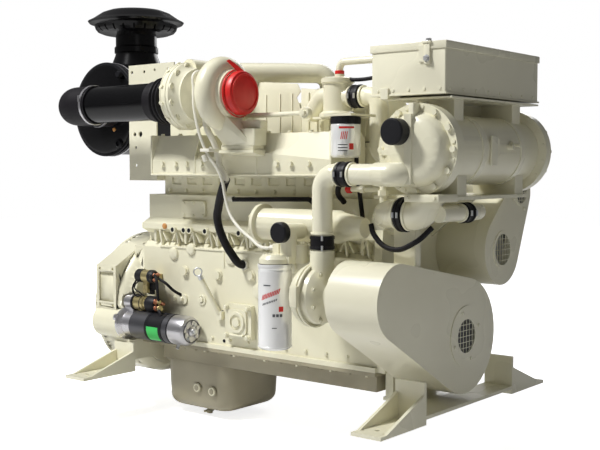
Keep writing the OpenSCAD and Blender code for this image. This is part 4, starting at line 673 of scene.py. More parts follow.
@dataclass
class Castings:
    """The painted castings and weldments, as copies of the frame's solids with softened edges."""

    frame: dict
    cast_edge: float = 3.0
    sheet_edge: float = 1.2
    fine_edge: float = 0.6
    pan_floor: float = -214.0
    cast: tuple[str, ...] = (
        "cylinder_block", "flywheel_housing", "gear_case", "cylinder_heads", "rocker_housings",
        "rocker_covers", "exhaust_manifold", "aftercooler", "oil_cooler", "filter_head",
        "thermostat_housing", "water_pump", "exchanger_covers", "heat_exchanger", "block_fittings",
        "fuel_pump",
    )
    sheet: tuple[str, ...] = (
        "pump_belt_guard", "alternator_guard", "expansion_tank", "exchanger_brackets", "cleaner_bracket",
        "engine_feet",
    )

    def soften(self, node: str, width: float, finish: Finish, body: str = "engine") -> None:
        """Copies a node, merges its triangles into faces and rounds its edges.

        Args:
            node: The CAD node, which the new piece replaces.
            width: The rounding's width.
            finish: The surface.
            body: The body it rides on.
        """
        builder = Builder(f"{node}_soft", finish, body, replaces=node, unit=1.0)
        bm = builder.bm
        bm.from_mesh(self.frame["nodes"][node].data)
        bmesh.ops.remove_doubles(bm, verts=bm.verts, dist=2e-6)
        flat = math.radians(0.6)
        bmesh.ops.dissolve_limit(bm, angle_limit=flat, verts=bm.verts, edges=bm.edges, delimit={"NORMAL"})
        for move in MOVES.get(node, ()):
            move.apply(bm.verts)
        if node == "oil_pan":
            self.cut_below(bm, self.pan_floor * MM)
        rounding = builder.finish_piece().modifiers.new("rounding", "BEVEL")
        rounding.width = width * MM
        rounding.segments = 2
        rounding.limit_method = "ANGLE"
        rounding.angle_limit = math.radians(42)
        rounding.use_clamp_overlap = True
        rounding.harden_normals = True

    @staticmethod
    def cut_below(bm: bmesh.types.BMesh, height: float) -> None:
        """Cuts away what lies below a height and closes the cut.

        Args:
            bm: The mesh.
            height: The height, in metres.
        """
        everything = [*bm.verts, *bm.edges, *bm.faces]
        bmesh.ops.bisect_plane(
            bm, geom=everything, plane_co=(0, 0, height), plane_no=Axis.DOWN.value, clear_outer=True
        )
        bmesh.ops.holes_fill(bm, edges=[e for e in bm.edges if e.is_boundary])

    def build(self) -> None:
        """Softens every casting and weldment."""
        for node in self.cast:
            self.soften(node, self.cast_edge, CREAM)
        for node in self.sheet:
            self.soften(node, self.sheet_edge, SHEET_CREAM)
        # The oil pan takes the sump's darkened cream, which is painted shade.
        self.soften("oil_pan", self.sheet_edge, SUMP_PAINTED_SHADE)
        for node, finish, body in (
            ("air_elbow", BLACK_MATT, "engine"), ("intake_pipe", BLACK_GLOSS, "engine"),
            ("hump_hose", BLACK_MATT, "engine"), ("turbo_rotor", BARE_STEEL, "turbo"),
            ("fuel_filter", WHITE_CAN, "fuel_can"), ("coolant_pipes", SHEET_CREAM, "engine"),
            ("coolant_hoses", BLACK_MATT, "engine"),
        ):
            self.soften(node, self.fine_edge, finish, body)


@dataclass
class CarriedNodes:
    """Gives each CAD node that stays visible its own finish."""

    frame: dict
    finishes: dict[str, Finish] = field(
        default_factory=lambda: {
            "bolts_and_plugs": CREAM, "rain_cap": BLACK_GLOSS, "oil_filter": WHITE_CAN,
            "pump_impeller": BARE_STEEL, "pump_pulley": CREAM, "guard_rings": SHEET_CREAM,
            "crankshaft": BARE_STEEL, "flywheel": BARE_STEEL, "ring_gear": DARK_STEEL, "crank_pulley": CREAM,
            "drive_belts": BLACK_MATT, "alternator": SILVER, "alternator_rotor": BARE_STEEL,
            "accessory_drive": BARE_STEEL, "filler_cap": SHEET_CREAM, "exchanger_port_cap": BLACK_PLASTIC,
            "cooler_port_cap": BLACK_PLASTIC, "starter_motor": SILVER, "starter_solenoid": GOLD_ZINC,
            "starter_clutch": BARE_STEEL, "starter_pinion": DARK_STEEL, "dipstick": BARE_STEEL,
            "throttle_lever": GOLD_ZINC,
        }
    )

    def build(self) -> None:
        """Assigns the finishes."""
        for name, finish in self.finishes.items():
            mesh = self.frame["nodes"][name].data
            mesh.materials.clear()
            mesh.materials.append(finish.material())
            LOG.info("%s keeps its solid, in %s", name, finish.name)


@dataclass
class AirCleaner:
    """The black drum with its covers, necks, clamp lines and knob."""

    centre: Point = (-86, -176, 850)
    r: float = 205.0
    length: float = 390.0
    neck_x: float = -44.0

    def drum(self) -> None:
        """Turns the drum with its beads, the collar of the rain cap and the elbow's neck."""
        x, y, z = self.centre
        r, length = self.r, self.length
        inner = r - 8
        outline = (
            (NEAR_AXIS, 0), (r - 24, 0), (r - 12, 5), (inner, 12), (inner, 34), (r - 2, 38), (r, 42), (r, 50),
            (r - 2, 54), (inner, 58), (inner, length - 58), (r, length - 52), (r, length - 40),
            (inner, length - 34), (inner, length - 12), (r - 24, length), (NEAR_AXIS, length),
        )
        collar = ((80, 10), (116, 10), (115, 30), (112, 40), (96, 80), (92, 96), (80, 96))
        with Builder("air_cleaner_drum", BLACK_GLOSS, replaces="air_cleaner") as drum:
            drum.turned(self.centre, Axis.RIGHT, outline, 96)
            drum.turned((x, y + length / 2, z + r - 40), Axis.UP, collar, 64)
            drum.rod((self.neck_x, y - 26, z), Axis.RIGHT, 73, 40, 48)

    def build(self) -> None:
        """Builds the drum and what is fixed to it."""
        self.drum()
        x, y, z = self.centre
        with Builder("drum_rims", BLACK_PLASTIC) as rims:
            for away, outer in ((8, 4 / 3), (30, -0.5)):
                rims.ring((x, y + away, z), Axis.RIGHT, self.r - 12, self.r + outer, 7, 96)
        with Builder("drum_clamp_lines", SILVER) as lines:
            lines.ring((x, y + 44, z), Axis.RIGHT, self.r - 1, self.r + 1.5, 5, 96)
            lines.ring((self.neck_x, -249, z), Axis.RIGHT, 79, 82, 12, 64)
            lines.rod((self.neck_x + 30, -246, z + 84), Axis.FRONT, 4, 26, 12)
            lines.ring((116, -400, z), Axis.FRONT, 79, 82, 12, 64)
            lines.rod((122, -484, z + 10), Axis.UP, 4, 26, 12)
        knob = ((NEAR_AXIS, -6), (9, -6), (9, 10), (16, 12), (16, 24), (12, 30), (NEAR_AXIS, 30))
        cup = ((NEAR_AXIS, -4), (20, -4), (20, 6), (13, 10), (13, 4), (NEAR_AXIS, 4))
        with Builder("drum_fittings", BLACK_PLASTIC) as fittings:
            fittings.turned((30, y + 8, z + 146), Axis.LEFT, knob, 24)
            fittings.turned((x + 100, y + 2, z - 150), Axis.LEFT, cup, 32)
        spot = ((NEAR_AXIS, -3), (9, -3), (9, 3), (7, 5), (NEAR_AXIS, 5))
        with Builder("drum_service_spot", PRIMER) as plug:
            plug.turned((x + 70, y, z - 90), Axis.LEFT, spot, 24)


@dataclass
class HoseClamps:
    """The painted bands that hold each rubber sleeve on its pipes.

    Each place is (centre of the sleeve's first end, its far end, outer radius).
    """

    sleeves: tuple[tuple[Point, Point, float], ...] = (
        ((1326, -425, 318), (1326, -425, 364), 40.3),
        ((1402, -425, 572), (1444, -425, 572), 40.3),
        ((1290, -198, 846), (1328, -198, 846), 39.3),
        ((1581, -330, 440), (1609, -330, 440), 55.3),
        ((1725, -188, 444), (1725, -142, 444), 32.3),
    )
    band: float = 9.0
    inset: float = 1.5

    def build(self) -> None:
        """Puts two bands with their screws on every sleeve, and a bead on each pipe beside it."""
        bands = Builder("hose_bands", BLACK_PLASTIC, slot="rubber")
        screws = Builder("hose_band_screws", BARE_STEEL)
        beads = Builder("pipe_beads", CREAM)
        with bands, screws, beads:
            for start, end, r in self.sleeves:
                a, b = Vector(start), Vector(end)
                along = (b - a).normalized()
                side = Vector((0.6, -0.8, 0)) if abs(along.z) > 0.9 else along.cross(Vector(Axis.UP.value))
                for foot in (a + along * self.inset, b - along * (self.band + self.inset)):
                    bands.ring(foot, along, r, r + 2.5, self.band)
                    middle = foot + along * self.band / 2 + side * (r + 5)
                    screws.rod(middle - Vector((0, 0, 9)), Axis.UP, 4, 18, 12)
                for foot in (a - along * 12, b + along * 4):
                    beads.ring(foot, along, r - 6, r - 0.5, 8)


@dataclass
class StarterDetails:
    """Starter motor, solenoid, relay and their cables."""

    axis_y: float = -265.8
    axis_z: float = -61.4
    solenoid_z: float = 30.6
    relay: Pair = (-276, 146)
    cables: tuple[tuple[str, tuple[Point, ...], float], ...] = (
        ("relay_cable", ((352, -286, 155), (378, -300, 128), (374, -292, 75), (366, -280, 46)), 6),
        ("solenoid_cable", ((360, -280, 18), (390, -292, -2), (400, -288, -20), (404, -270, -1)), 7),
        ("relay_lead", ((250, -296, 130), (232, -300, 90), (240, -290, 62), (262, -280, 64)), 4),
        ("battery_cable", ((356, -266, 137), (392, -262, 120), (410, -236, 90), (425, -206.5, 70)), 6),
        ("relay_wires", ((270, -300, 128), (255, -310, 100), (285, -302, 75), (300, -296, 64)), 3),
    )

    def _at(self, x: float, up: float = 0.0) -> Vector:
        """Gives a point on the starter's axis, raised by up."""
        return Vector((x, self.axis_y, self.axis_z + up))

    def motor(self) -> None:
        """Covers the yoke with its bands, label and mounting flange."""
        front = Axis.FRONT
        with Builder("starter_yoke", DARK_STEEL) as yoke:
            yoke.ring(self._at(232), front, 58.6, 60.2, 222, 64)
        with Builder("starter_mount_flange", SILVER) as mount:
            mount.ring(self._at(157), front, 55, 70, 12)
            for lug in circle(self._at(157), 70, (35, 155, 275), about=0):
                mount.rod(lug, front, 15, 12, 24)
        with Builder("starter_black_bands", BLACK_PLASTIC) as bands:
            for x, inner, outer, width in ((326, 60.3, 61.6, 12), (408, 60.3, 61.8, 16), (452, 58, 61.4, 6)):
                bands.ring(self._at(x), front, inner, outer, width, 64)
        with Builder("starter_green_label", GREEN_BAND) as label:
            for turn in range(172, 235, 9):
                ends = [(x, r) for x in (340, 406) for r in (60.3, 61.0)]
                label.hull(c for x, r in ends for c in circle(self._at(x), r, (turn, turn + 9), about=0))
        with Builder("starter_wrap", BLACK_PLASTIC) as cover:
            cover.ring(self._at(338), front, 59.6, 60.28, 70, 64)

    def end_cap(self) -> None:
        """Builds the bright end cap with its lugs, hub, ring and studs."""
        front = Axis.FRONT
        shell = (
            (57, 0), (60.5, 2), (60.5, 60), (56, 76), (47, 82.5), (NEAR_AXIS, 82.6), (NEAR_AXIS, 82.1),
            (40, 82),
        )
        hub = ((20, 0), (20, 8), (14, 14), (NEAR_AXIS, 15), (NEAR_AXIS, 0))
        with Builder("starter_end_cap", SILVER) as cap:
            cap.turned(self._at(458), front, shell, 64)
            for lug in circle(self._at(541), 34, range(20, 380, 60), about=0):
                cap.rod(lug, front, 9, 5, 20)
            cap.turned(self._at(540), front, hub, 32)
        with Builder("starter_cap_ring", DARK_STEEL) as ring:
            ring.ring(self._at(540.5), front, 43, 47, 3)
        with Builder("starter_cap_studs", BARE_STEEL) as studs:
            studs.bolts(circle(self._at(540), 30, (60, 240), about=0), front, 8)
            studs.hex_bolt(self._at(554), front, 10)
            studs.rod(self._at(470, -58), (0, -0.5, -0.85), 7, 22, 20)

    def switchgear(self) -> None:
        """Builds the solenoid's ends and studs, and the relay above it."""
        front = Axis.FRONT
        y, z = self.axis_y, self.solenoid_z
        cap = ((33, -2), (33, 26), (27, 42), (NEAR_AXIS, 45), (NEAR_AXIS, 36), (28, 10))
        with Builder("solenoid_cap", BLACK_PLASTIC) as solenoid:
            solenoid.turned((300, y, z), front, cap)
            solenoid.ring((214, y, z), front, 30.5, 35, 10)
            solenoid.ring((262, y, z), front, 31, 32.2, 3)
        with Builder("solenoid_studs", COPPER) as studs:
            for dy, dz in ((-14, 13), (-14, -14), (12, 2)):
                studs.rod((343, y + dy, z + dz), front, 6.5, 26, 20)
                studs.hex_bolt((348, y + dy, z + dz), front, 9)
        with Builder("solenoid_yellow_nut", GOLD_ZINC) as nut:
            nut.hex_bolt((372, y - 14, z - 14), front, 11)
            nut.hex_bolt((368, y - 14, z + 13), front, 8)
        y, z = self.relay
        rear_end = (
            (27.5, 0), (27.5, 30), (27.2, 34), (26.6, 34), (26.4, -1), (NEAR_AXIS, -4), (NEAR_AXIS, -8),
            (22, -7),
        )
        front_end = ((27.4, 0), (27.4, 14), (22, 26), (NEAR_AXIS, 27), (NEAR_AXIS, 19), (24, 12), (26.4, 0))
        with Builder("relay_ends", BLACK_PLASTIC) as relay:
            relay.turned((246, y, z), front, rear_end, 40)
            relay.turned((318, y, z), front, front_end, 40)
            relay.box((262, -262, 88), (322, -240, 130), 3)
            relay.box((270, -250, 66), (300, -236, 96), 3)
        with Builder("relay_posts", COPPER) as posts:
            for dy, dz in ((-10, 9), (10, 9), (-10, -12)):
                posts.rod((343, y + dy, z + dz), front, 4.5, 16, 16)
                posts.hex_bolt((347, y + dy, z + dz), front, 6)

    def build(self) -> None:
        """Builds all of the starter's details and its short black cables."""
        self.motor()
        self.end_cap()
        self.switchgear()
        for name, points, r in self.cables:
            tube(name, points, r, BLACK_MATT)


@dataclass
class TurboDetails:
    """The turbocharger's housings with their bolts, clamps, oil lines and red cap."""

    y: float = -400.0
    z: float = 863.0
    pipe_z: float = 964.0
    volute: Pair = (95.0, 42.0)
    compressor: tuple[Pair, ...] = (
        (46, 0), (60, 0), (60, 22), (74, 25), (112, 26), (121, 30), (125, 36), (125, 78), (121, 82),
        (110, 90), (99, 108), (86, 108), (84, 40), (46, 34),
    )
    bearing: tuple[Pair, ...] = (
        (22, 0), (99, 0), (99, 8), (62, 22), (52, 34), (50, 56), (66, 68), (78, 72), (78, 82), (22, 82),
    )
    turbine: tuple[Pair, ...] = (
        (66, 0), (90, 0), (95, 5), (95, 92), (84, 106), (74, 118), (72, 124), (72, 151), (62, 151), (62, 60),
        (66, 40),
    )
    red_cap: tuple[Pair, ...] = (
        (72.5, 0), (78, 0), (80, 4), (80, 26), (77, 33), (70, 37), (NEAR_AXIS, 38), (NEAR_AXIS, 34),
        (68, 33.5), (72.5, 30),
    )
    oil_line: tuple[Point, ...] = (
        (755, -400, 926), (756, -414, 944), (751, -452, 940), (757, -463, 880), (761, -463, 800),
        (796, -440, 655), (838, -410, 570), (846, -386, 470), (862, -386, 428), (900, -392, 388),
        (1000, -412, 334), (1044, -418, 312), (1113, -418, 312),
    )
    drain_pipe: tuple[Point, ...] = (
        (755, -400, 796), (757, -398, 750), (788, -387, 684), (806, -385, 640), (812, -385, 606),
        (838, -380, 560), (836, -375, 540),
    )
    drain_hose: tuple[Point, ...] = (
        (838, -377, 552), (800, -358, 510), (745, -322, 440), (726, -308, 400), (736, -292, 330),
        (756, -258, 258), (772, -232, 222), (775, -205, 216),
    )

    def _round(self, x: float, r: float = 0.0, angle: float = 0.0) -> Vector:
        """Gives a point at a radius round the turbocharger's shaft."""
        return circle((x, self.y, self.z), r, (angle,), about=0)[0]

    def _turn(self, builder: Builder, x: float, outline: Sequence[Pair]) -> None:
        """Turns an outline about the turbocharger's shaft from x."""
        builder.turned(self._round(x), Axis.FRONT, outline, 64)

    def _rings(self, builder: Builder, rows: Iterable[tuple[float, float, float, float]]) -> None:
        """Adds rings round the shaft, each as its place, inner radius, outer radius and width."""
        for x, inner, outer, width in rows:
            builder.ring(self._round(x), Axis.FRONT, inner, outer, width, 64)

    def housings(self) -> None:
        """Builds compressor and bearing housing, the charge pipe and the red cap."""
        with Builder("compressor_housing_cast", CREAM, replaces="compressor_housing") as compressor:
            self._turn(compressor, 606, self.compressor)
            compressor.rod((670, self.y, self.pipe_z), Axis.RIGHT, 39, 132, 48)
        with Builder("bearing_housing_cast", CREAM, replaces="bearing_housing") as bearing:
            self._turn(bearing, 714, self.bearing)
            bearing.rod((755, self.y, self.z + 46), Axis.UP, 17, 14)
            bearing.rod((755, self.y, self.z - 64), Axis.UP, 24, 18)
        with Builder("red_cap_cover", RED_PLASTIC, "red_cap", replaces="exhaust_cap") as cap:
            self._turn(cap, 919, self.red_cap)
        route = ((670, -270, self.pipe_z), (670, -226, self.pipe_z), (985, 62, self.pipe_z), (985, 62, 892))
        tube("charge_pipe_cast", route, 39, SHEET_CREAM, bend=55, replaces="charge_air_pipe")
        with Builder("charge_pipe_collars", CREAM) as collars:
            collars.ring((670, -275, self.pipe_z), Axis.RIGHT, 38, 45, 10)
            collars.ring((985, 62, 892.5), Axis.UP, 38, 52, 10)

    def turbine_housing(self) -> None:
        """Builds the volute, the outlet and the leg down to the manifold's flange."""
        with Builder("turbine_housing_cast", CREAM, replaces="turbine_housing") as turbine:
            middle, tube_r = self.volute
            steps = [math.tau * k / 28 for k in range(28)]
            self._turn(turbine, 850, [(middle + tube_r * math.cos(a), tube_r * math.sin(a)) for a in steps])
            self._turn(turbine, 796, self.turbine)
            upper = [(x, y, z) for z in (747, 788) for x in (812, 888) for y in (-438, -362)]
            turbine.hull(upper + [(x, y, z) for x in (851, 979) for y in (-398, -344) for z in (672, 684)])
            turbine.box((836, -402, 658), (994, -340, 675), 2)

    def compressor_bolts(self) -> None:
        """Adds the compressor's clamp plates, bolts and ribs."""
        plates = Builder("compressor_clamp_plates", CREAM)
        with plates, Builder("compressor_bolts", CREAM) as bolts:
            for angle in range(15, 375, 30):
                bolts.hex_bolt(self._round(688, 108, angle), Axis.FRONT, 8)
                bolts.hex_bolt(self._round(630, 108, angle), Axis.REAR, 8)
                outward = self._round(0, 1, angle) - self._round(0)
                bolts.rod(self._round(650, 124, angle), outward, 7, 6, 16)
                plates.rod(self._round(684, 110, angle), Axis.FRONT, 15, 9, 24)
        with Builder("compressor_rings", CREAM) as rings:
            self._rings(rings, ((664, 122, 127, 7), (640, 122, 126.5, 6)))
            rings.ring(self._round(741), Axis.FRONT, 50, 60, 12)

    def turbine_bands(self) -> None:
        """Adds the volute's band, the foot's bolts and flange, and the outlet's clamp ring."""
        with Builder("turbine_band", SHEET_CREAM) as band:
            self._rings(band, ((792, 74, 92, 14),))
            band.rod(self._round(799, 92, 40) - Vector((0, 12, 0)), Axis.RIGHT, 6, 34, 16)
        with Builder("outlet_ring", CREAM) as ring:
            self._rings(ring, ((900, 70, 86, 9),))
        with Builder("turbo_foot_bolts", CREAM) as bolts:
            bolts.bolts(((x, y, 675) for x in (846, 984) for y in (-394, -348)), Axis.UP, 9)
        with Builder("turbo_foot_flange", CREAM) as flange:
            flange.box((930, -404, 674), (1000, -392, 735), 2)
            flange.box((990, -402, 674), (1002, -338, 735), 2)
            flange.box((905, -376, 735), (1006, -340, 765), 3)
        with Builder("volute_leg_ribs", CREAM) as rib:
            outline = ((900, 676), (975, 676), (975, 686), (906, 742))
            rib.plate([(x, -398, z) for x, z in outline], (0, -5, 0), 1)

    def cap_details(self) -> None:
        """Adds the red cap's raised rims and its pull tab."""
        with Builder("red_tag", RED_PLASTIC, "red_cap") as tag:
            tab = ((938, -424, 940), (944, -400, 942), (926, -414, 962), (908, -436, 982), (900, -440, 978))
            tag.plate(tab, (0, 3, 2))
        with Builder("red_cap_rim", RED_PLASTIC, "red_cap") as rim:
            self._rings(rim, ((953, 62, 70, 5.5), (920, 84, 87.5, 6)))

    def lines(self) -> None:
        """Draws the pressure line, the drain pipe and its hose, with fittings and clip."""
        tube("turbo_oil_line", self.oil_line, 6, WHITE_LINE)
        tube("turbo_drain_pipe", self.drain_pipe, 12, WHITE_LINE)
        tube("turbo_drain_hose", self.drain_hose, 16, BLACK_MATT)
        with Builder("line_fittings", WHITE_LINE, replaces="turbo_oil_lines") as joints:
            joints.rod((755, -400, 915), Axis.UP, 11, 14, 6)
            joints.rod((1092, -418, 312), Axis.FRONT, 11, 20, 6)
            joints.rod((755, -400, 782), Axis.UP, 19, 14, 24)
            joints.rod((775, -216.5, 216), Axis.RIGHT, 22, 14, 6)
            joints.box((776, -452, 652), (822, -382, 664), 2)
            joints.rod((790, -446, 640), (0.35, 0.2, -1), 10, 24, 16)
            joints.rod((806, -385, 634), Axis.UP, 16, 26, 20)
            joints.hex_bolt((799, -418, 664), Axis.UP, 8)

    def build(self) -> None:
        """Builds all of the turbocharger's details."""
        self.housings()
        self.turbine_housing()
        self.compressor_bolts()
        self.turbine_bands()
        self.cap_details()
        self.lines()


@dataclass
class BlockSide:
    """The cylinder block's turbocharger side: covers, plugs, ribs, holes and bolts."""

    face: float = -204.0
    core_holes: tuple[float, ...] = (397, 461, 492, 581, 763)
    core_z: float = 340.0
    plugs_at: tuple[Pair, ...] = ((445, 171), (631, 167), (807, 176), (930, 150), (540, 60))
    low_holes: tuple[Pair, ...] = ((655, 20), (662, -95), (1010, 110), (884, 30))
    bosses: tuple[Point, ...] = (
        (700, 240, 26), (850, 118, 30), (1010, 222, 24), (480, 262, 22), (380, 240, 24),
    )
    pitch: float = 96.0

    def covers(self) -> None:
        """Adds the bolted covers' screws and raised shapes."""
        left = Axis.LEFT
        with Builder("block_cover_bolts", CREAM) as bolts:
            for columns, y, rows, r in (
                ((412, 470, 528), -178.5, (398, 450), 8), ((700, 812), -234, (-64, 48), 9),
                ((390, 430), -210.5, (55,), 9),
            ):
                bolts.bolts(((x, y, z) for x in columns for z in rows), left, r)
            for k in range(11):
                bolts.hex_bolt((300 + self.pitch * k, -145, 500), left, 8)
                bolts.hex_bolt((310 + self.pitch * k, self.face, -88), left, 7)
        with Builder("square_cover_boss", CREAM) as cover:
            middle = (756, -233, -8)
            cover.ring(middle, left, 30, 42, 7)
            cover.turned(middle, left, ((NEAR_AXIS, 0), (20, 0), (18, 9), (12, 11), (NEAR_AXIS, 11)), 32)
            cover.rod((720, -234, -60), Axis.FRONT, 5, 70, 16)

    def plugs(self) -> None:
        """Adds ringed plugs, and black cups inside the core holes as painted shade."""
        left = Axis.LEFT
        with Builder("block_plugs", CREAM) as plugs:
            for x, z in self.plugs_at:
                plugs.ring((x, self.face, z), left, 14, 22, 5)
                plugs.hex_bolt((x, self.face, z), left, 12, washer=False)
        # Shallow black cups stand in for the shade inside the boss holes and the low holes: painted shade.
        with Builder("block_hole_shade_cups", BLACK_PLASTIC) as holes:
            places = [((x, -228.6, self.core_z), 9, 6) for x in self.core_holes]
            places += [((x, self.face, z), 7, 5) for x, z in self.low_holes]
            for place, r, floor_r in places:
                cup = ((NEAR_AXIS, 0), (r, 0), (r, 1.5), (floor_r, 2), (NEAR_AXIS, 1))
                holes.turned(place, left, cup, 24)
        with Builder("block_boss_rims", CREAM) as rims:
            for x in self.core_holes:
                rims.ring((x, -226.2, self.core_z), left, 9.5, 14, 4)
        with Builder("primer_plug", PRIMER) as plug:
            cap = ((NEAR_AXIS, 0), (12, 0), (12, 4), (9, 7), (NEAR_AXIS, 7))
            plug.turned((340, -216.5, 352), left, cap, 24)

    def ribs(self) -> None:
        """Adds the pointed ribs below the ledge and the cast lines of the skirt."""
        with Builder("block_ledge_ribs", CREAM) as ribs:
            side = ((-172, 341), (-215, 341), (-211, 318), (-203, 284), (-196, 270))
            for k in range(12):
                x = 300 + self.pitch * k
                ribs.plate([(x, y, z) for y, z in side], (9, 0, 0), 1.5)
                for top, foot in ((x + 8, x + 34), (x + 92, x + 66)) if k < 11 else ():
                    web = ((top, -172, 334), (top, -206, 334), (foot, -205.5, 290), (foot, -172, 290))
                    ribs.plate(web, (7, 0, 0), 1)
        with Builder("block_skirt_ribs", CREAM) as lines:
            for x, low, high in ((900, -80, 250), (655, 196, 270)):
                lines.box((x, -207.5, low), (x + 12, -200, high), 2.5)
            lines.box((300, -208.5, 262), (1380, -200, 271), 2.5)
            for x, z, r in self.bosses:
                boss = ((NEAR_AXIS, -4), (r + 4, -4), (r, 8), (r - 5, 11), (NEAR_AXIS, 11))
                lines.turned((x, self.face, z), Axis.LEFT, boss, 40)

    def build(self) -> None:
        """Builds the whole side and the clip of its hose."""
        self.covers()
        self.plugs()
        self.ribs()
        with Builder("side_hose_clip", WHITE_LINE) as clip:
            clip.ring((696, -212, 473.5), (1, 0, 0.02), 9.2, 12, 26)


@dataclass
class HeadsAndManifold:
    """Screws, seams and lips of rocker covers, heads and exhaust manifold."""

    covers: tuple[float, ...] = (278.0, 634.0, 990.0)
    side: float = 137.0
    panel: tuple[Pair, ...] = (
        (20, 712), (20, 800), (60, 800), (76, 784), (92, 800), (220, 800), (236, 784), (252, 800), (310, 800),
        (310, 712),
    )
    rear_sheet: tuple[Pair, ...] = (
        (700, 846), (700, 930), (830, 924), (990, 910), (1006, 880), (985, 858), (1006, 812), (1006, 700),
        (700, 700),
    )
    front_sheet: tuple[Pair, ...] = ((1006, 700), (1006, 893), (1125, 880), (1125, 700))
    rod_z: float = 786.0

    def rockers(self) -> None:
        """Adds the rocker covers' screws, panels and seams."""
        bolts = Builder("rocker_cover_bolts", CREAM)
        panels = Builder("rocker_cover_panels", CREAM)
        with bolts, panels, Builder("rocker_gaskets", GASKET) as seams:
            for x in self.covers:
                for dx in (24, 118, 214, 308):
                    bolts.hex_bolt((x + dx, -128, 844), Axis.UP, 8)
                    bolts.hex_bolt((x + dx, 128, 844), Axis.UP, 8)
                    bolts.hex_bolt((x + dx, -self.side, 664), Axis.LEFT, 7)
                seams.box((x - 3, -138.5, 684), (x + 335, 138.5, 687.5))
                panels.plate([(x + dx, -self.side, z) for dx, z in self.panel], (0, -4, 0), 1)

    def shield(self) -> None:
        """Adds the tall panel beside the rocker covers and the rod in front of it."""
        with Builder("rocker_side_panel", SHEET_CREAM) as panel:
            for outline, y in ((self.rear_sheet, -141), (self.front_sheet, -139)):
                panel.plate([(x, y, z) for x, z in outline], (0, -3, 0), 0.8)
        with Builder("rocker_panel_ribs", SHEET_CREAM) as ribs:
            for x in (760, 830, 900, 960, 1040, 1080):
                ribs.box((x, -148, 710), (x + 7, -141, 875), 1.5)
        z = self.rod_z
        tube("actuator_rod", ((886, -330, z), (1020, -330, z - 1), (1164, -330, z + 1)), 9, CREAM)
        with Builder("actuator_rod_ends", CREAM) as ends:
            ends.ring((1178, -342, z + 1), Axis.RIGHT, 10, 21, 24, 32)
            ends.hex_bolt((1178, -340, z + 1), Axis.LEFT, 11)
            ends.rod((884, -342, z), Axis.RIGHT, 14, 24, 24)

    def manifold(self) -> None:
        """Adds the manifold's end covers, seams, lips and studs."""
        with Builder("manifold_lips", CREAM) as cast:
            cast.box((398, -350, 563), (1306, -330, 571), 3)
            for x, top in ((398, 722), (638, 640), (954, 722), (1296, 722)):
                cast.box((x, -348, 566), (x + 9, -200, top), 2.5)
        with Builder("manifold_studs", CREAM) as studs:
            studs.bolts(((x, -300, 720) for x in (420, 520, 616, 980, 1080, 1180, 1280)), Axis.UP, 8)
            studs.bolts(((1305, y, z) for z in (600, 680) for y in (-310, -190)), Axis.FRONT, 9)

    def build(self) -> None:
        """Builds all of it."""
        self.rockers()
        self.shield()
        self.manifold()


@dataclass(frozen=True)
class Can:
    """A filter can that takes prints.

    Attributes:
        x: The can's place along X.
        y: Its place along Y.
        r: The radius of its prints.
        ink: Their thickness.
    """

    x: float
    y: float
    r: float
    ink: float = 0.35

    def patch(self, builder: Builder, turn: Pair, height: Pair, slant: float = 0.0) -> None:
        """Adds a thin curved patch.

        Args:
            builder: Takes the patch.
            turn: Its first and last angle in degrees.
            height: Its lower and upper edge.
            slant: How far the upper edge is turned on, in degrees.
        """
        bm, middle = builder.bm, (self.x, self.y, 0)
        low, high = height
        places = ((self.r, low), (self.r + self.ink, low), (self.r + self.ink, high), (self.r, high))
        corners = [circle((self.x, self.y, z), r, turn[:1], about=2)[0] for r, z in places]
        face = bm.faces.new([bm.verts.new(corner) for corner in corners])
        first = list(face.verts)
        bmesh.ops.spin(
            bm, geom=[face], cent=middle, axis=Axis.UP.value, angle=math.radians(turn[1] - turn[0]), steps=6,
            use_duplicate=False,
        )
        upper = [v for v in builder.joined_to(first) if abs(v.co.z - high) < NEAR_AXIS]
        lean = Matrix.Rotation(math.radians(slant), 3, "Z")
        bmesh.ops.rotate(bm, cent=middle, matrix=lean, verts=upper)

    def row(
        self, builder: Builder, count: int, turn: Pair, step: float, height: Pair, climb: float = 0.0,
        slant: float = 0.0,
    ) -> None:
        """Adds a row of equal patches.

        Args:
            builder: Takes the patches.
            count: How many there are.
            turn: The first one's angles in degrees.
            step: The angle from one to the next.
            height: The first one's lower and upper edge.
            climb: How much higher each next one lies.
            slant: How far the upper edges are turned on, in degrees.
        """
        for k in range(count):
            angles = (turn[0] + step * k, turn[1] + step * k)
            self.patch(builder, angles, (height[0] + climb * k, height[1] + climb * k), slant)


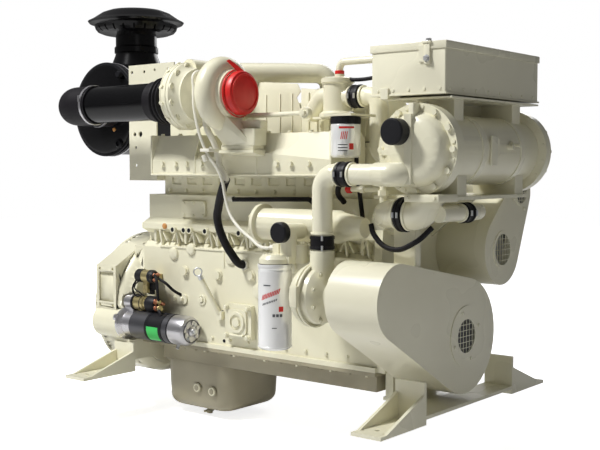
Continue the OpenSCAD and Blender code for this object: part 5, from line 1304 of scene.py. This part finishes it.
@dataclass
class FilterPrints:
    """The plain stripes and squares of the filter cans, and their heads' details."""

    oil: Can = Can(1154, -470, 59.1)
    fuel: Can = Can(1362, -342, 51.1)

    def oil_can(self) -> None:
        """Prints the oil can and adds its rims and gasket."""
        with Builder("oil_can_red_print", RED_PLASTIC, "oil_can") as red:
            self.oil.row(red, 11, (-100, -96.6), 6, (140, 158), climb=2.4, slant=5)
            self.oil.patch(red, (-37, -21), (102, 120))
        with Builder("oil_can_grey_print", DARK_STEEL, "oil_can") as grey:
            self.oil.row(grey, 9, (-96, -93), 6, (122, 130), climb=2.2, slant=3)
            self.oil.row(grey, 3, (-58, -49), 12, (84, 94))
            self.oil.patch(grey, (-92, -66), (190, 194), 2)
            self.oil.patch(grey, (-60, -44), (44, 47))
        with Builder("oil_can_rims", WHITE_CAN, "oil_can") as rims:
            rims.ring((self.oil.x, self.oil.y, 252), Axis.UP, 56, 60.4, 10, 64)
            rims.ring((self.oil.x, self.oil.y, -26), Axis.UP, 54, 59.8, 6, 64)
        with Builder("oil_can_gasket", BLACK_MATT, "oil_can") as gasket:
            gasket.ring((self.oil.x, self.oil.y, 262.4), Axis.UP, 40, 56, 1.4, 64)

    def fuel_can(self) -> None:
        """Prints the fuel can and adds its knurled black top."""
        with Builder("fuel_can_red_print", RED_PLASTIC, "fuel_can") as red:
            self.fuel.patch(red, (-80, -20), (726, 733))
            self.fuel.patch(red, (-40, -22), (655, 676))
            self.fuel.row(red, 4, (-74, -71), 7, (690, 716), slant=5)
        with Builder("fuel_can_grey_print", DARK_STEEL, "fuel_can") as lines:
            self.fuel.row(lines, 3, (-84, -46), 0, (650, 653), climb=10)
        with Builder("fuel_can_top", BLACK_PLASTIC, "fuel_can") as top:
            top.ring((self.fuel.x, self.fuel.y, 742), Axis.UP, 44, 51.6, 25, 64)
            for x, y, _ in circle((self.fuel.x, self.fuel.y, 0), 51.2, range(0, 360, 10), about=2):
                top.box((x - 1, y - 1, 746), (x + 1, y + 1, 763))

    def build(self) -> None:
        """Prints both cans."""
        self.oil_can()
        self.fuel_can()


@dataclass
class CoolingSide:
    """Heat exchanger, expansion tank, thermostat, pump and their screws, straps and seams."""

    shell_x: float = 1665.0
    shell_z: float = 652.0
    tank_low: Pair = (1475, -350)
    tank_high: Pair = (1759, 295)
    vent: Pair = (1220, -198)
    pump: Pair = (-425, 160)
    hoses: tuple[tuple[str, tuple[Point, ...], float], ...] = (
        ("vent_hose", ((1250, -200, 912), (1300, -200, 905), (1400, -200, 910), (1474.5, -200, 920)), 7),
        (
            "bowl_hose",
            ((1462, -332, 404), (1475, -336, 372), (1550, -338, 324), (1640, -336, 350), (1690, -310, 400)),
            9,
        ),
        ("head_hose", ((1292, -250, 620), (1290, -260, 560), (1268, -260, 510), (1262, -215, 470)), 10),
    )

    def exchanger(self) -> None:
        """Adds the straps, sensor and cover screws of the heat exchanger."""
        x, z = self.shell_x, self.shell_z
        with Builder("exchanger_straps", SHEET_CREAM) as straps:
            for y in (-150, 120):
                straps.ring((x, y, z), Axis.RIGHT, 117.5, 121.5, 30, 72)
            straps.box((1782, -100, 600), (1790, -60, 700), 3)
            straps.box((1655, -405, 610), (1675, -360, 800), 3)
            straps.box((1600, -200, 742), (1610, 260, 814), 1)
        with Builder("exchanger_screws", CREAM) as screws:
            for y, r in ((-362, 8), (262, 7)):
                screws.bolts(circle((x, y, z), 137, range(10, 370, 24), about=1), Axis.LEFT, r)
            screws.hex_bolt((1782.5, 50, 670), Axis.FRONT, 12)
            screws.rod((1795, 50, 670), Axis.FRONT, 7, 22, 16)

    def cap_grips(self) -> None:
        """Adds the ridges round both black port caps."""
        for name, body, (cap_x, cap_z), r, half, (low, high) in (
            ("port_cap_grips", "exchanger_cap", (1629, 708), 35.5, 1.5, (-456, -425)),
            ("filter_cap_grips", "filter_port_cap", (1190, 372), 28.5, 1.0, (-498, -475)),
        ):
            with Builder(name, BLACK_PLASTIC, body, "black_cap") as grips:
                for x, _, z in circle((cap_x, 0, cap_z), r, range(0, 360, 15), about=1):
                    grips.box((x - half, low, z - half), (x + half, high, z + half))

    def tank(self) -> None:
        """Adds the lid's seam, the latch and the rivets."""
        (x0, y0), (x1, y1) = self.tank_low, self.tank_high
        lip = 4
        with Builder("tank_seams", SHEET_CREAM) as sheet:
            for (xa, ya), (xb, yb) in (
                ((x0 - lip, y0 - lip), (x1 + lip, y0)), ((x0 - lip, y1), (x1 + lip, y1 + lip)),
                ((x0 - lip, y0), (x0, y1)), ((x1, y0), (x1 + lip, y1)),
            ):
                for low, high in ((972, 996), (828, 834)):
                    sheet.box((xa, ya, low), (xb, yb, high), 1)
            sheet.box((1682, -358.5, 925), (1704, -350.5, 992), 1.5)
            sheet.box((1676, -362, 990), (1710, -330, 997), 1.5)
        with Builder("tank_bolts", BARE_STEEL) as bolts:
            bolts.hex_bolt((1693, -358.5, 942), Axis.LEFT, 9)
            bolts.hex_bolt((1693, -346, 997), Axis.UP, 9)
        rivet = ((NEAR_AXIS, 0), (6, 0), (5, 2.4), (NEAR_AXIS, 3.4))
        with Builder("tank_rivets", SHEET_CREAM) as rivets:
            for x in (1500, 1560, 1620, 1680, 1738):
                rivets.turned((x, y0, 846), Axis.LEFT, rivet, 16)
            for y in range(-320, 336, 82):
                rivets.turned((x1, y, 846), Axis.FRONT, rivet, 16)

    def fittings(self) -> None:
        """Adds the valve, its red knob, the flange block, the vent's red band and the small hoses."""
        with Builder("valve_and_flange", CREAM) as cast:
            cast.box((1632, -392, 484), (1762, -272, 509), 3)
            for z, r, length, sides in ((384, 13, 160, 24), (440, 24, 26, 6), (500, 19, 18, 6)):
                cast.rod((1490, -300, z), Axis.UP, r, length, sides)
            cast.box((1462, -330, 385), (1516, -270, 430), 4)
            cast.rod((1490, -330, 408), Axis.LEFT, 9, 10, 16)
            cast.rod((1330, -262, 519), Axis.FRONT, 10, 120, 20)
            cast.rod((1370, -262, 519), Axis.FRONT, 15, 16, 6)
            for x in (1648, 1746):
                cast.hex_bolt((x, -392, 496.5), Axis.LEFT, 7)
            cast.box((1540, -312, 262), (1625, -276, 400), 3)
        grip = ((NEAR_AXIS, 0), (12, 0), (15, 5), (15, 18), (11, 23), (NEAR_AXIS, 24))
        with Builder("red_drain_knob", RED_PLASTIC) as knob:
            knob.turned((1331, -262, 519), Axis.REAR, grip, 24)
        with Builder("vent_red_band", RED_PLASTIC) as band:
            band.ring((1228, -198, 929), Axis.UP, 12.8, 17, 12)
        for name, points, r in self.hoses:
            tube(name, points, r, BLACK_MATT)

    def windows(self) -> None:
        """Closes the guards' windows with wire mesh and screws their rings on."""
        screw = ((NEAR_AXIS, 0), (7, 0), (6.5, 3), (4, 5), (NEAR_AXIS, 5.4))
        gaps, wire = 13, 0.9
        screws = Builder("guard_window_screws", SHEET_CREAM)
        with screws, Builder("guard_window_mesh", DARK_STEEL, slot="shaded_steel") as mesh:
            for y, z, r, out in ((0.0, 0.0, 62, 88), (406, 498, 47, 66)):
                for k in range(1 - gaps, gaps):
                    off = k / gaps * r
                    half = math.sqrt(1 - (k / gaps) ** 2) * r
                    mesh.rod((1633.5, y - half, z + off), Axis.RIGHT, wire, 2 * half, 5)
                    mesh.rod((1634.7, y + off, z - half), Axis.UP, wire, 2 * half, 5)
                for seat in circle((1642.8, y, z), out, (20, 110, 200, 290), about=0):
                    screws.turned(seat, Axis.FRONT, screw, 16)

    def thermostat(self) -> None:
        """Adds the screws of thermostat, pump and oil cooler, and the pump's clamp."""
        with Builder("thermostat_screws", CREAM) as screws:
            for z, reach, r in ((789, 51, 7), (913, 43, 6)):
                screws.bolts(circle((*self.vent, z), reach, (45, 135, 225, 315), about=2), Axis.UP, r)
        with Builder("pump_clamp", CREAM) as pump:
            for x in (1286, 1300):
                pump.ring((x, *self.pump), Axis.FRONT, 104, 110.5, 9, 72)
            pump.box((1282, -548, 130), (1312, -530, 200), 3)
            pump.bolts(circle((1352, *self.pump), 88, range(0, 360, 40), about=0), Axis.FRONT, 7)
        with Builder("oil_cooler_screws", CREAM) as cooler:
            cooler.bolts(circle((955, -312, 388), 66, range(20, 380, 45), about=0), Axis.REAR, 7)

    def build(self) -> None:
        """Builds all of it."""
        self.exchanger()
        self.cap_grips()
        self.tank()
        self.fittings()
        self.windows()
        self.thermostat()


@dataclass
class FeetAndSump:
    """The sump's pressed well with its plugs, and the pan's screws.

    Attributes:
        middle: The middle of the well's upper outline.
        half: Half its length and half its width.
        depth: Its depth.
        corner: The radius of its upright corners.
        bottom: The radius round its bottom.
        draft: How far it is narrower where that radius starts.
    """

    middle: Point = (467.5, 0, -212)
    half: Pair = (183.5, 176.5)
    depth: float = 192.0
    corner: float = 66.0
    bottom: float = 46.0
    draft: float = 5.0

    def outline(self, inset: float, drop: float) -> list[Point]:
        """Gives one level of the well.

        Args:
            inset: How far the level lies inside the well's upper outline.
            drop: How far it lies below the well's top.

        Returns:
            Its points.
        """
        points = []
        steps = 8
        r = max(12.0, self.corner - inset * 0.6)
        for quarter, signs in enumerate(((1, 1), (-1, 1), (-1, -1), (1, -1))):
            x, y = (m + s * (h - inset - r) for m, s, h in zip(self.middle, signs, self.half))
            angles = [90 * (quarter + k / steps) for k in range(steps + 1)]
            points += circle((x, y, self.middle[2] - drop), r, angles, about=2)
        return points

    def well(self) -> None:
        """Pushes the well's upper outline down from level to level."""
        levels = [(0.0, -6.0), (0.0, 40.0), (2.0, 90.0), (self.draft, self.depth - self.bottom)]
        for degrees in range(15, 105, 15):
            a = math.radians(degrees)
            inset = self.draft + self.bottom * (1 - math.cos(a))
            levels.append((inset, self.depth - self.bottom * (1 - math.sin(a))))
        # The well takes the sump's darkened cream, which is painted shade.
        with Builder("sump_well", SUMP_PAINTED_SHADE, smooth_angle=50.0) as well:
            ring = [well.bm.verts.new(p) for p in self.outline(*levels[0])]
            level = well.bm.faces.new(ring)
            for step, (inset, drop) in enumerate(levels[1:]):
                made = bmesh.ops.extrude_face_region(well.bm, geom=[level])
                if step:
                    bmesh.ops.delete(well.bm, geom=[level], context="FACES_ONLY")
                level = next(item for item in made["geom"] if isinstance(item, bmesh.types.BMFace))
                below = set(level.verts)
                ring = [(below & {e.other_vert(v) for e in v.link_edges}).pop() for v in ring]
                for vert, place in zip(ring, self.outline(inset, drop)):
                    vert.co = place

    def build(self) -> None:
        """Builds the well, its drain, its plugs and the pan's screws."""
        self.well()
        lean = (0, -0.1, -1)
        # Drain, plug rims and pan screws also take the sump's darkened cream, which is painted shade.
        with Builder("sump_drain", SUMP_PAINTED_SHADE) as drain:
            drain.rod((500, -112, -394), lean, 16, 18, 24)
            drain.hex_bolt((500, -120, -412), lean, 13)
            drain.rod((498, -124, -414), (-0.2, -1, 0), 5, 24, 16)
        with Builder("sump_plug_rims", SUMP_PAINTED_SHADE) as plugs:
            for x, z in ((486, -311), (571, -316)):
                plugs.ring((x, -176, z), Axis.LEFT, 14, 21, 6)
                plugs.hex_bolt((x, -178, z), Axis.LEFT, 12, washer=False)
            for k in range(17):
                plugs.hex_bolt((300 + 65 * k, -196, -145), Axis.DOWN, 7)


@dataclass
class Studio:
    """Camera, lamps, floor and surrounding white, with places in metres."""

    eye: Point = (3.4577, -3.177, 0.5949)
    azimuth: float = 39.0
    elevation: float = 3.2
    lens: float = 61.8
    floor_z: float = -0.436
    grey: float = 0.13
    lamps: tuple[tuple[str, Point, Point, float, float], ...] = (
        ("key", (-0.9, -3.0, 4.7), (0.8, 0.0, 0.3), 0.9, 330.0),
        ("fill", (4.6, -3.6, 2.2), (0.9, 0.0, 0.4), 2.0, 3.0),
        ("top", (0.5, -0.4, 4.6), (0.8, 0.0, 0.0), 2.0, 16.0),
        ("rear", (-0.6, 4.5, 3.0), (0.8, 0.0, 0.3), 3.0, 70.0),
    )

    def camera(self) -> None:
        """Sets the camera at the photograph's place."""
        data = bpy.data.cameras.new("camera")
        data.lens = self.lens
        data.sensor_width = 36.0
        data.clip_end = 50.0
        camera = bpy.data.objects.new("camera", data)
        camera.location = self.eye
        camera.rotation_euler = (math.radians(90 - self.elevation), 0.0, math.radians(self.azimuth))
        bpy.context.scene.collection.objects.link(camera)
        bpy.context.scene.camera = camera

    def lamp(self, name: str, place: Point, aim: Point, size: float, power: float) -> None:
        """Adds one soft area lamp.

        Args:
            name: The lamp's name.
            place: Where it hangs.
            aim: The point it faces.
            size: Its width in metres.
            power: Its power in watts.
        """
        data = bpy.data.lights.new(name, "AREA")
        data.size = size
        data.energy = power
        lamp = bpy.data.objects.new(name, data)
        lamp.location = place
        lamp.rotation_euler = (Vector(aim) - Vector(place)).to_track_quat("-Z", "Y").to_euler()
        bpy.context.scene.collection.objects.link(lamp)

    def world(self) -> None:
        """Makes the surroundings a soft grey for the object and white for the camera."""
        world = bpy.data.worlds.new("studio")
        world.use_nodes = True
        nodes, links = world.node_tree.nodes, world.node_tree.links
        background = nodes["Background"]
        path = nodes.new("ShaderNodeLightPath")
        either = nodes.new("ShaderNodeMath")
        either.operation = "MAXIMUM"
        level = nodes.new("ShaderNodeMapRange")
        level.inputs["To Min"].default_value = self.grey
        level.inputs["To Max"].default_value = 1.0
        links.new(path.outputs["Is Camera Ray"], either.inputs[0])
        links.new(path.outputs["Is Transmission Ray"], either.inputs[1])
        links.new(either.outputs["Value"], level.inputs["Value"])
        links.new(level.outputs["Result"], background.inputs["Strength"])
        background.inputs["Color"].default_value = (1.0, 1.0, 1.0, 1.0)
        bpy.context.scene.world = world

    def floor(self) -> None:
        """Lays the pale floor, which keeps the object's shadow."""
        mesh = bpy.data.meshes.new("floor")
        bm = bmesh.new()
        place = Matrix.Translation((0, 0, self.floor_z))
        bmesh.ops.create_grid(bm, x_segments=1, y_segments=1, size=14.0, matrix=place)
        bm.to_mesh(mesh)
        bm.free()
        floor = bpy.data.objects.new("floor", mesh)
        bpy.context.scene.collection.objects.link(floor)
        material = FLOOR_FINISH.material()
        self.glow(material)
        mesh.materials.append(material)

    def glow(self, material: bpy.types.Material) -> None:
        """Makes the floor shine white for the camera, a little less so under the object.

        Args:
            material: The floor's material.
        """
        nodes, links = material.node_tree.nodes, material.node_tree.links
        path = nodes.new("ShaderNodeLightPath")
        glow = nodes.new("ShaderNodeEmission")
        coords = nodes.new("ShaderNodeTexCoord")
        away = nodes.new("ShaderNodeVectorMath")
        away.operation = "DISTANCE"
        away.inputs[1].default_value = (0.8, 0.0, self.floor_z)
        spread = nodes.new("ShaderNodeMapRange")
        for name, value in (("From Min", 0.7), ("From Max", 1.6), ("To Min", 0.8), ("To Max", 1.0)):
            spread.inputs[name].default_value = value
        joined = nodes.new("ShaderNodeAddShader")
        pick = nodes.new("ShaderNodeMixShader")
        shader = nodes["Principled BSDF"]
        for source, target in (
            (coords.outputs["Object"], away.inputs[0]), (away.outputs["Value"], spread.inputs["Value"]),
            (spread.outputs["Result"], glow.inputs["Strength"]), (shader.outputs["BSDF"], joined.inputs[0]),
            (glow.outputs["Emission"], joined.inputs[1]), (path.outputs["Is Camera Ray"], pick.inputs["Fac"]),
            (shader.outputs["BSDF"], pick.inputs[1]), (joined.outputs["Shader"], pick.inputs[2]),
            (pick.outputs["Shader"], nodes["Material Output"].inputs["Surface"]),
        ):
            links.new(source, target)

    def build(self) -> None:
        """Sets up the whole studio."""
        self.camera()
        self.world()
        self.floor()
        for lamp in self.lamps:
            self.lamp(*lamp)
        bpy.context.scene.view_settings.view_transform = "Standard"


def main() -> None:
    """Builds the dressed engine, sub-assembly by sub-assembly."""
    logging.basicConfig(level=logging.INFO, format="%(message)s")
    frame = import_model()
    Studio().build()
    for assembly in (
        Castings(frame), CarriedNodes(frame), AirCleaner(), HoseClamps(), StarterDetails(), TurboDetails(),
        BlockSide(), HeadsAndManifold(), FilterPrints(), CoolingSide(), FeetAndSump(),
    ):
        assembly.build()
        LOG.info("%s is done", type(assembly).__name__)


if __name__ == "__main__":
    main()
